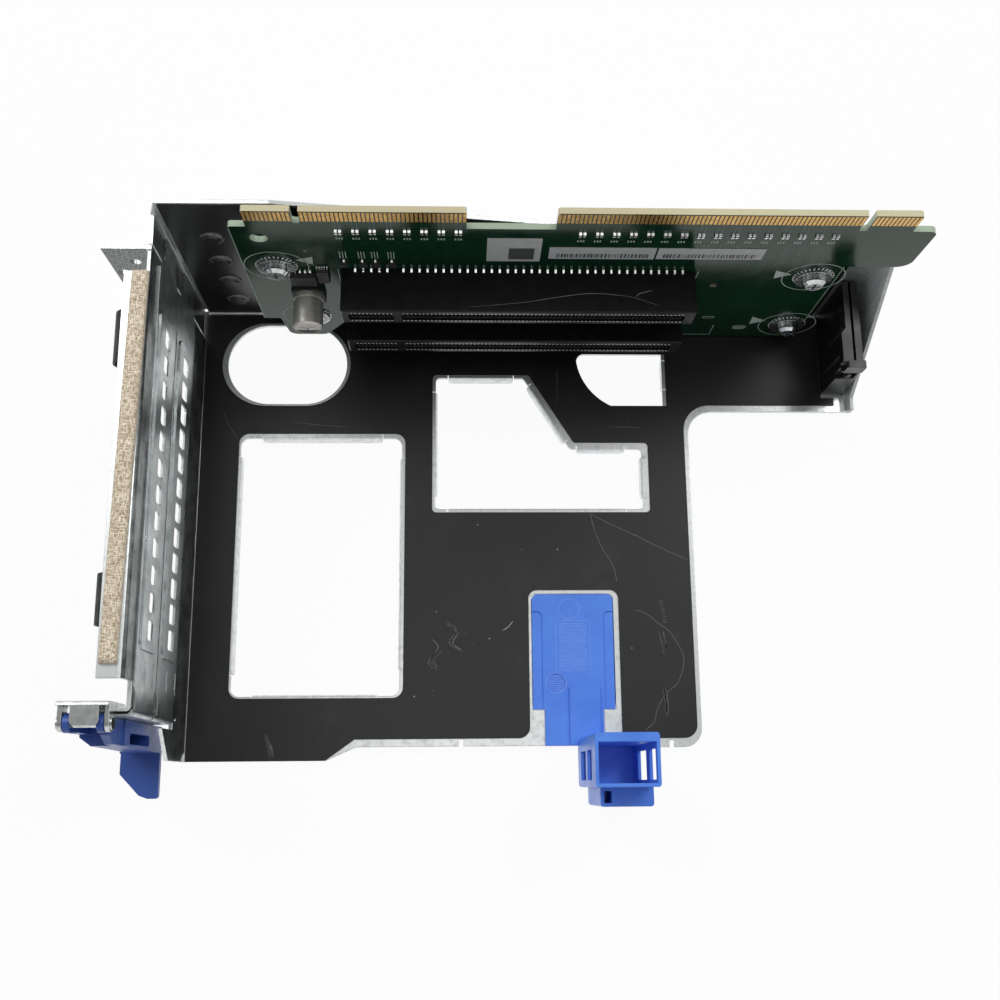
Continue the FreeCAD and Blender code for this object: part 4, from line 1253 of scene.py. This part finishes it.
@dataclass
class BoardParts:
    """Small parts on the board: chip capacitors, leads, solder beads and washers."""

    chip_rows: tuple = ((1.27, 24.5, 8), (58.33, 24.0, 16))
    chip_step: float = 4.0
    pair: float = 0.5
    chip_end: Point = (0.3, 0.72)
    chip_half: float = 0.33
    chip_rise: float = 0.6
    chip_lean: float = 0.18
    transistors: tuple = (1.2, 5.7, 8.9, 12.9)
    lead_shifts: tuple = (-0.7, 0.0, 0.7)
    transistor_lead: Lead = Lead(0.24, 0.42, 0.12, 0.36, 0.35)
    transistor_ends: tuple = ((0.0, 8.8, 7.9), (-0.7, 5.6, 6.6), (0.7, 5.6, 6.6))
    packages: tuple = (
        (Lead(0.15, 0.52, 0.15, 0.2, 0.25), -5.9, 0.63, 5, ((4.85, 3.92), (-3.35, -2.42))),
        (Lead(0.22, 0.52, 0.15, 0.3, 0.3), -11.6, 1.27, 4, ((2.55, 1.62), (-4.35, -3.42))),
    )
    beads: int = 28
    bead_circle: float = 5.05
    bead_radius: float = 0.26
    bead_rise: float = 0.08
    washer_face: float = -0.8
    teeth: int = 30
    tooth_radii: Point = (3.2, 4.6)
    tooth_gap: float = 0.32

    def chips(self) -> list[Point]:
        """Finds the chip capacitors of the two rows.

        Returns:
            The middle of each.
        """
        spots = []
        for u, v, count in self.chip_rows:
            for i in range(count):
                for sign in (-1, 1):
                    spots.append((u + i * self.chip_step + sign * self.pair, v))
        return spots

    def build(self) -> None:
        """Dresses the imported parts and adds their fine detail."""
        finishes = {"riser_board": MASK, "edge_contacts_front": GOLD, "edge_contacts_back": GOLD,
                    "chip_capacitors": CERAMIC, "control_chips": EPOXY, "transistors": EPOXY,
                    "capacitor_base": EPOXY, "capacitor_can": ALUMINIUM, "board_screws": PLATED,
                    "screw_washers": PLATED, "standoffs": PLATED, "hinge_pin": PLATED, "board_labels": PAPER}
        for node, finish in finishes.items():
            dress(node, finish)
        self.solder()
        self.gaps()

    def solder(self) -> None:
        """Adds tinned chip ends, leads and solder beads."""
        tin = Draft(Side.BOARD, 0.0)
        for u, v in self.chips():
            for sign in (-1, 1):
                low, high = sorted(v + sign * end for end in self.chip_end)
                tin.box((u - self.chip_half, u + self.chip_half), (low, high), self.chip_rise,
                        lean=max(0, sign) * self.chip_lean)
        for u in self.transistors:
            for shift, foot, root in self.transistor_ends:
                self.transistor_lead.draw(tin, u + shift, foot, root)
        for lead, start, step, count, rows in self.packages:
            for i in range(count):
                for foot, root in rows:
                    lead.draw(tin, start + i * step, foot, root)
        for centre in BoardPrint.screws:
            for i in range(self.beads):
                angle = FULL_TURN * i / self.beads
                spot = (centre[0] + self.bead_circle * math.cos(angle),
                        centre[1] + self.bead_circle * math.sin(angle))
                tin.dome(spot, self.bead_radius, self.bead_rise, steps=6)
        tin.piece("tinned_ends", SOLDER, "zinc_steel")

    def gaps(self) -> None:
        """Adds dark strokes of painted shade between the locking teeth of the washers."""
        dark = Draft(Side.BOARD, self.washer_face)
        for u, v in BoardPrint.screws:
            for i in range(self.teeth):
                angle = FULL_TURN * i / self.teeth
                spots = [(u + r * math.cos(angle), v + r * math.sin(angle)) for r in self.tooth_radii]
                dark.stroke(spots, self.tooth_gap, CLEAR)
        dark.piece("washer_gap_shade", EPOXY, "zinc_steel")


@dataclass
class Tracks:
    """Masked tracks that run from the finger pads down to the connectors, and their vias."""

    top: float = 29.0
    chip_gap: float = 0.9
    bend: float = 1.6
    bend_top: float = 20.5
    bend_low: float = 18.9
    turning_x: float = 50.0
    low: float = 4.8
    width: float = 0.16
    wide: float = 0.2
    wide_ends: Point = (15.5, 9.0)
    vias: int = 46
    via_start: float = 3.0
    via_step: float = 2.04
    via_heights: tuple = (21.9, 22.6, 23.1)
    via_radii: Point = (0.3, 0.14)
    via_rise: float = 0.015
    grid: int = 4
    grid_corner: Point = (107.0, 14.0)
    grid_step: Point = (1.7, 1.8)
    seed: int = 21

    def build(self) -> None:
        """Draws the tracks, then the vias."""
        copper = Draft(Side.BOARD, 0.0)
        for u, v in BoardParts().chips():
            aside = u + (self.bend if u < self.turning_x else -self.bend)
            copper.stroke([(u, self.top), (u, v + self.chip_gap)], self.width, CLEAR)
            path = [(u, v - self.chip_gap), (u, self.bend_top), (aside, self.bend_low), (aside, self.low)]
            copper.stroke(path, self.width, CLEAR)
        for u in BoardParts.transistors:
            for shift in BoardParts.lead_shifts:
                copper.stroke([(u + shift, v) for v in self.wide_ends], self.wide, CLEAR)
        copper.piece("board_tracks", TRACK, "board_green")
        luck = random.Random(self.seed)
        spots = []
        for i in range(self.vias):
            spots.append((self.via_start + i * self.via_step, luck.choice(self.via_heights)))
        for i in range(self.grid ** 2):
            spots.append((self.grid_corner[0] + i % self.grid * self.grid_step[0],
                          self.grid_corner[1] + i // self.grid * self.grid_step[1]))
        holes = Draft(Side.BOARD, 0.0)
        for spot in spots:
            holes.ring(spot, *self.via_radii, self.via_rise, steps=10)
        holes.piece("board_vias", TRACK, "board_green")


@dataclass
class CanPrint:
    """Printed half moon on the end of the capacitor can, and dark strokes of painted shade along its pressed
    vent lines.
    """

    centre: Point = (-9.55, -9.6)
    face: float = -10.5
    moon_radius: float = 3.3
    moon_start: float = 200.0
    moon_arc: float = 140.0
    moon_steps: int = 20
    vent_turns: tuple = (0.08, 0.42, 0.75)
    vent_length: float = 2.4
    vent_width: float = 0.22
    thick: float = 0.01

    def around(self, angle: float, radius: float) -> Point:
        """Point at an angle and a distance from the can's middle."""
        return (self.centre[0] + radius * math.cos(angle), self.centre[1] + radius * math.sin(angle))

    def build(self) -> None:
        """Adds the half moon and the painted shade of the vent lines."""
        mark = Draft(Side.BOARD, self.face)
        outline = []
        for i in range(self.moon_steps + 1):
            angle = math.radians(self.moon_start + self.moon_arc * i / self.moon_steps)
            outline.append(self.around(angle, self.moon_radius))
        mark.slab(outline, self.thick)
        for turn in self.vent_turns:
            tip = self.around(FULL_TURN * turn, self.vent_length)
            mark.stroke([self.centre, tip], self.vent_width, self.thick)
        mark.piece("can_print_and_vent_shade", PRINT, "capacitor_shell")


@dataclass
class HousingWear:
    """Thin scratches on the top of the upper connector housing."""

    top: float = 3.75
    scratch: tuple = ((32.1, -10.0), (45.3, -8.7), (52.5, -7.5), (59.7, -6.4), (64.4, -6.2), (69.1, -6.6),
                      (73.4, -7.3), (79.3, -9.3))
    scratch_width: float = 0.14
    scuff: tuple = ((73.6, -7.0), (74.7, -6.1), (75.5, -5.9), (77.9, -5.2))
    scuff_width: float = 0.2

    def build(self) -> None:
        """Draws the scratch and the short scuff."""
        lines = Draft(Side.FLOOR, self.top)
        lines.stroke(smooth_line(list(self.scratch)), self.scratch_width, CLEAR, taper=True)
        lines.stroke(smooth_line(list(self.scuff)), self.scuff_width, CLEAR, taper=True)
        lines.piece("housing_scratches", SCRATCH_AND_HIGHLIGHT, "connector_black")


@dataclass
class BluePull:
    """Pull plate in the floor with its moulding marks."""

    face: float = -41.0
    mark_rise: float = 0.06
    ejector: Point = (59.3, -79.0)
    ejector_radius: float = 2.9
    ejector_line: float = 0.16
    ejector_rise: float = 0.05
    gate_radius: float = 0.22
    panel_u: Point = (55.5, 64.9)
    panel_v: Point = (-95.9, -82.1)
    panel_line: float = 0.14
    ridges: int = 26
    ridge_step: float = 0.51
    ridge_inset: Point = (0.7, 0.8)
    ridge_start: float = 0.6
    ridge_stop: float = 1.2
    ridge_waver: float = 0.09
    ridge_parts: int = 14
    ridge_rise: float = 0.03
    high_ridges: int = 3
    high_ridge_rise: float = 0.07
    wheel: Point = (55.5, -98.9)
    wheel_radius: float = 2.55
    wheel_line: float = 0.22
    wheel_depth: float = 0.3
    ribs: int = 7
    rib_step: float = 0.6
    rib_circle: float = 2.4
    rib_ends: float = 0.25
    rib_sag: float = 0.2
    rib_size: float = 0.2
    seed: int = 17

    def build(self) -> None:
        """Dresses the pull and adds the moulding marks."""
        dress("pull_handle", PULL_BLUE)
        self.marks()
        self.rib_lines()

    def marks(self) -> None:
        """Adds the ejector mark, the wheel's rim, the panel's edge and its ridges, in the paler blue of
        painted highlight.
        """
        relief = Draft(Side.FLOOR, self.face)
        relief.ring(self.ejector, self.ejector_radius, self.ejector_radius - self.ejector_line,
                    self.ejector_rise, steps=48)
        relief.dome(self.ejector, self.gate_radius, self.mark_rise)
        relief.ring(self.wheel, self.wheel_radius + self.wheel_line, self.wheel_radius, self.mark_rise,
                    steps=48)
        left, right = self.panel_u
        low, high = self.panel_v
        line = self.panel_line
        for u, v in (((left, right), (high - line, high)), ((left, left + line), self.panel_v),
                     ((right - line, right), self.panel_v)):
            relief.box(u, v, self.mark_rise)
        luck = random.Random(self.seed)
        for i in range(self.ridges):
            v = high - self.ridge_inset[1] - i * self.ridge_step
            start = left + self.ridge_inset[0] + luck.uniform(0, self.ridge_start)
            stop = right - self.ridge_inset[0] - luck.uniform(0, self.ridge_stop)
            ridge = []
            for k in range(self.ridge_parts + 1):
                ridge.append((start + (stop - start) * k / self.ridge_parts,
                              v + luck.uniform(-self.ridge_waver, self.ridge_waver)))
            rise = self.ridge_rise if i < self.ridges - self.high_ridges else self.high_ridge_rise
            relief.stroke(ridge, line, rise)
        relief.piece("pull_moulding_marks", RIDGE, "handle_blue")

    def rib_lines(self) -> None:
        """Adds the bowed ribs inside the wheel, in the paler blue of painted highlight."""
        bows = Draft(Side.FLOOR, self.face - self.wheel_depth)
        middle, centre = self.wheel
        for i in range(self.ribs):
            v = centre + (i - (self.ribs - 1) / 2) * self.rib_step
            half = math.sqrt(max(0.0, self.rib_circle ** 2 - (v - centre) ** 2))
            end = v + self.rib_ends
            bow = [(middle - half, end), (middle, v - self.rib_sag), (middle + half, end)]
            bows.stroke(smooth_line(bow, 6), self.rib_size, self.rib_size)
        bows.piece("pull_wheel_ribs", RIDGE, "handle_blue")


@dataclass
class CardLatch:
    """Hinged card latch with its bright bracket."""

    def build(self) -> None:
        """Dresses the lever and its bracket."""
        dress("latch_lever", LATCH_BLUE)
        dress("hinge_bracket", BRACKET)


@dataclass
class Guide:
    """Black guide beside the right wall."""

    def build(self) -> None:
        """Dresses the guide."""
        dress("card_guide", NYLON)


@dataclass
class Studio:
    """White floor, white surround, soft lamps and the camera, placed in metres."""

    floor_half: float = 2.0
    camera_place: tuple = (-0.0131354, -0.0636749, 0.3212355)
    camera_turn: tuple = (13.55446, -2.05532, -0.01823)
    lens: float = 42.476
    sensor: float = 36.0
    fill: float = 0.33
    zenith: float = 0.22
    sky_range: Point = (0.35, 0.9)
    paper: tuple[str, str] = ("#F4F4F4", "#F6F6F6")
    paper_mm: float = 100 / 3
    paper_glow: float = 0.94
    lamps: tuple = (((0.0, -0.04, 0.95), 0.35, 0.42), ((-0.5, 0.45, 0.8), 0.5, 3.5),
                    ((0.5, 0.45, 0.8), 0.5, 3.5))
    near: float = 0.01

    def build(self) -> None:
        """Makes the surround, the floor, the lamps and the camera."""
        self.surround()
        self.floor()
        self.light()
        self.shoot()

    def seen(self, tree: Tree) -> Socket:
        """1 for rays from the camera and for rays that a mirror or glass sends on.

        Args:
            tree: node tree of the world or the floor.

        Returns:
            The value.
        """
        path = add(tree, "LightPath")
        first = combine(tree, "MAXIMUM", path.outputs["Is Camera Ray"], path.outputs["Is Glossy Ray"])
        return combine(tree, "MAXIMUM", first, path.outputs["Is Transmission Ray"])

    def surround(self) -> None:
        """White at the horizon and dimmer overhead to the camera and to reflections, softer as a light."""
        world = bpy.data.worlds.new("surround")
        bpy.context.scene.world = world
        world.use_nodes = True
        tree = world.node_tree
        tree.nodes.clear()
        way = add(tree, "SeparateXYZ", links={0: add(tree, "TexCoord").outputs["Generated"]}).outputs[2]
        sky = ramp(tree, way, self.sky_range, (1.0, self.zenith), interpolation_type="SMOOTHSTEP")
        strength = add(tree, "Mix", {2: self.fill}, {0: self.seen(tree), 3: sky}, data_type="FLOAT")
        glow = add(tree, "Background", {"Color": (1, 1, 1, 1)}, {"Strength": strength.outputs[0]})
        add(tree, "OutputWorld", links={"Surface": glow.outputs[0]})

    def floor(self) -> None:
        """A pale floor that keeps a soft shadow of the cage."""
        half = self.floor_half
        data = bpy.data.meshes.new("studio_floor")
        corners = [(-half, -half, 0), (half, -half, 0), (half, half, 0), (-half, half, 0)]
        data.from_pydata(corners, [], [(0, 1, 2, 3)])
        ground = bpy.data.objects.new("studio_floor", data)
        bpy.context.scene.collection.objects.link(ground)
        paper = bpy.data.materials.new("white_paper_sweep")
        paper.use_nodes = True
        tree = paper.node_tree
        tree.nodes.clear()
        tone = noise(tree, add(tree, "TexCoord").outputs["Object"], self.paper_mm, 2.0)
        matte = add(tree, "BsdfDiffuse", links={"Color": blend(tree, tone, *self.paper)})
        white = add(tree, "Emission", {"Color": (1, 1, 1, 1), "Strength": 1.0})
        share = combine(tree, "MULTIPLY", self.seen(tree), self.paper_glow)
        mix = add(tree, "MixShader", links={0: share, 1: matte.outputs[0], 2: white.outputs[0]})
        add(tree, "OutputMaterial", links={"Surface": mix.outputs[0]})
        data.materials.append(paper)

    def light(self) -> None:
        """Large soft lamps above the cage."""
        for number, (place, size, power) in enumerate(self.lamps):
            data = bpy.data.lights.new(f"softbox_{number}", "AREA")
            data.energy = power
            data.size = size
            lamp = bpy.data.objects.new(f"softbox_{number}", data)
            lamp.location = place
            lamp.rotation_euler = (-Vector(place)).to_track_quat("-Z", "Y").to_euler()
            bpy.context.scene.collection.objects.link(lamp)

    def shoot(self) -> None:
        """The camera at the photograph's place."""
        data = bpy.data.cameras.new("camera")
        data.lens = self.lens
        data.sensor_width = self.sensor
        data.clip_start = self.near
        eye = bpy.data.objects.new("camera", data)
        eye.rotation_mode = "ZYX"
        eye.rotation_euler = [math.radians(angle) for angle in self.camera_turn]
        eye.location = self.camera_place
        bpy.context.scene.collection.objects.link(eye)
        bpy.context.scene.camera = eye
        bpy.context.scene.view_settings.view_transform = "Standard"


def main() -> None:
    """Builds every sub-assembly in order and logs each one as it is done."""
    logging.basicConfig(level=logging.INFO, format="%(name)s: %(message)s")
    sections = [Studio(), SheetCage(), BumpedFilm(), FloorWear(), Gasket(), BoardParts(), Tracks(),
                CanPrint(), BoardPrint(), *(Connector(name, mid) for name, mid in CONNECTORS.items()),
                HousingWear(), BluePull(), CardLatch(), Guide()]
    for section in sections:
        section.build()
        LOG.info("%s done", type(section).__name__)


if __name__ == "__main__":
    main()
